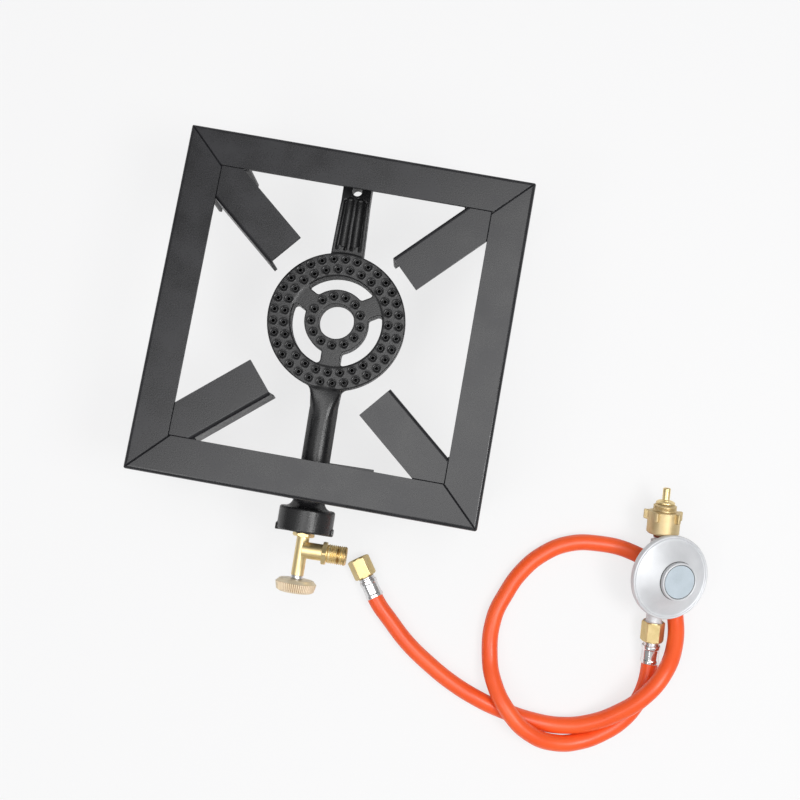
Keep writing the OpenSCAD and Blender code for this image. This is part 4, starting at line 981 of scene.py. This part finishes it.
# %% Floor
floor_reach, glow_share = 4, 0.78
floor_mesh = bpy.data.meshes.new("studio_floor")
floor_corners = [(x * floor_reach, y * floor_reach, 0) for x, y in ((-1, -1), (1, -1), (1, 1), (-1, 1))]
floor_mesh.from_pydata(floor_corners, [], [(0, 1, 2, 3)])
floor = bpy.data.objects.new("studio_floor", floor_mesh)
bpy.context.scene.collection.objects.link(floor)
floor_finish = bpy.data.materials.new("pale_floor")
floor_finish.use_nodes = True
shade = floor_finish.node_tree
paper = shade.nodes["Principled BSDF"]
paper.inputs["Base Color"].default_value = (0.86, 0.86, 0.865, 1)
paper.inputs["Roughness"].default_value = 0.7
glow = shade.nodes.new("ShaderNodeEmission")
glow.inputs["Color"].default_value = (0.955, 0.955, 0.958, 1)
rays = shade.nodes.new("ShaderNodeLightPath")
share = shade.nodes.new("ShaderNodeMath")
share.operation = "MULTIPLY"
share.inputs[1].default_value = glow_share
blend = shade.nodes.new("ShaderNodeMixShader")
shade.links.new(rays.outputs["Is Camera Ray"], share.inputs[0])
shade.links.new(share.outputs[0], blend.inputs["Fac"])
shade.links.new(paper.outputs[0], blend.inputs[1])
shade.links.new(glow.outputs[0], blend.inputs[2])
shade.links.new(blend.outputs[0], shade.nodes["Material Output"].inputs["Surface"])
floor_mesh.materials.append(floor_finish)

# %% World and lamps
bright_side = (0.8, -0.6, 0)
sweep_reach, ceiling_strength = 0.5, 4.8
# the ceiling's strength at places across the sweep, from the dark side to the bright one
ceiling_light = [(-0.42, 0.0), (-0.30, 0.25), (-0.23, 0.5), (-0.15, 3.6), (-0.04, 4.8), (0.05, 3.4),
                 (0.2, 1.0)]
ceiling_edge = (0.86, 0.95)
wall_light = (0.30, 0.60)
world = bpy.data.worlds.new("studio")
bpy.context.scene.world = world
world.use_nodes = True
sky = world.node_tree
sky.nodes.clear()
out = sky.nodes.new("ShaderNodeOutputWorld")
way = sky.nodes.new("ShaderNodeTexCoord")
height = sky.nodes.new("ShaderNodeSeparateXYZ")
across = sky.nodes.new("ShaderNodeVectorMath")
across.operation = "DOT_PRODUCT"
across.inputs[1].default_value = bright_side
sweep = sky.nodes.new("ShaderNodeMapRange")
sweep.inputs["From Min"].default_value, sweep.inputs["From Max"].default_value = -sweep_reach, sweep_reach
ceiling = sky.nodes.new("ShaderNodeValToRGB")
while len(ceiling.color_ramp.elements) < len(ceiling_light):
    ceiling.color_ramp.elements.new(0.5)
for stop, (place, light) in zip(ceiling.color_ramp.elements, ceiling_light):
    stop.position = 0.5 + 0.5 * place / sweep_reach
    stop.color = (*[light / ceiling_strength] * 3, 1)
above = sky.nodes.new("ShaderNodeMapRange")
above.interpolation_type = "SMOOTHSTEP"
above.inputs["From Min"].default_value, above.inputs["From Max"].default_value = ceiling_edge
above.inputs["To Min"].default_value, above.inputs["To Max"].default_value = 0, ceiling_strength
rise = sky.nodes.new("ShaderNodeMapRange")
rise.inputs["From Min"].default_value, rise.inputs["From Max"].default_value = 0.05, 0.8
rise.inputs["To Min"].default_value, rise.inputs["To Max"].default_value = wall_light
both = sky.nodes.new("ShaderNodeMath")
both.operation = "MULTIPLY_ADD"
lit = sky.nodes.new("ShaderNodeBackground")
white = sky.nodes.new("ShaderNodeBackground")
white.inputs["Color"].default_value = (0.97, 0.97, 0.975, 1)
seen = sky.nodes.new("ShaderNodeLightPath")
choice = sky.nodes.new("ShaderNodeMixShader")
sky.links.new(way.outputs["Generated"], height.inputs["Vector"])
sky.links.new(height.outputs["Z"], rise.inputs["Value"])
sky.links.new(height.outputs["Z"], above.inputs["Value"])
sky.links.new(way.outputs["Generated"], across.inputs[0])
sky.links.new(across.outputs["Value"], sweep.inputs["Value"])
sky.links.new(sweep.outputs["Result"], ceiling.inputs["Fac"])
sky.links.new(ceiling.outputs["Color"], both.inputs[0])
sky.links.new(above.outputs["Result"], both.inputs[1])
sky.links.new(rise.outputs["Result"], both.inputs[2])
sky.links.new(both.outputs[0], lit.inputs["Strength"])
sky.links.new(seen.outputs["Is Camera Ray"], choice.inputs["Fac"])
sky.links.new(lit.outputs[0], choice.inputs[1])
sky.links.new(white.outputs[0], choice.inputs[2])
sky.links.new(choice.outputs[0], out.inputs["Surface"])

lamp_target = Vector((0.1, -0.05, 0.05))
lamps = [("right_softbox", (0.75, -0.15, 1.3), 0.45, 7), ("left_fill", (-0.55, -0.75, 1.4), 0.5, 3)]
for name, spot, size, power in lamps:
    data = bpy.data.lights.new(name, "AREA")
    data.size = size
    data.energy = power
    lamp = bpy.data.objects.new(name, data)
    bpy.context.scene.collection.objects.link(lamp)
    aim = lamp_target - Vector(spot)
    lamp.matrix_world = Matrix.Translation(spot) @ aim.to_track_quat("-Z", "Y").to_matrix().to_4x4()
bpy.context.scene.view_settings.view_transform = "Standard"
print(len(lamps), "lamps")
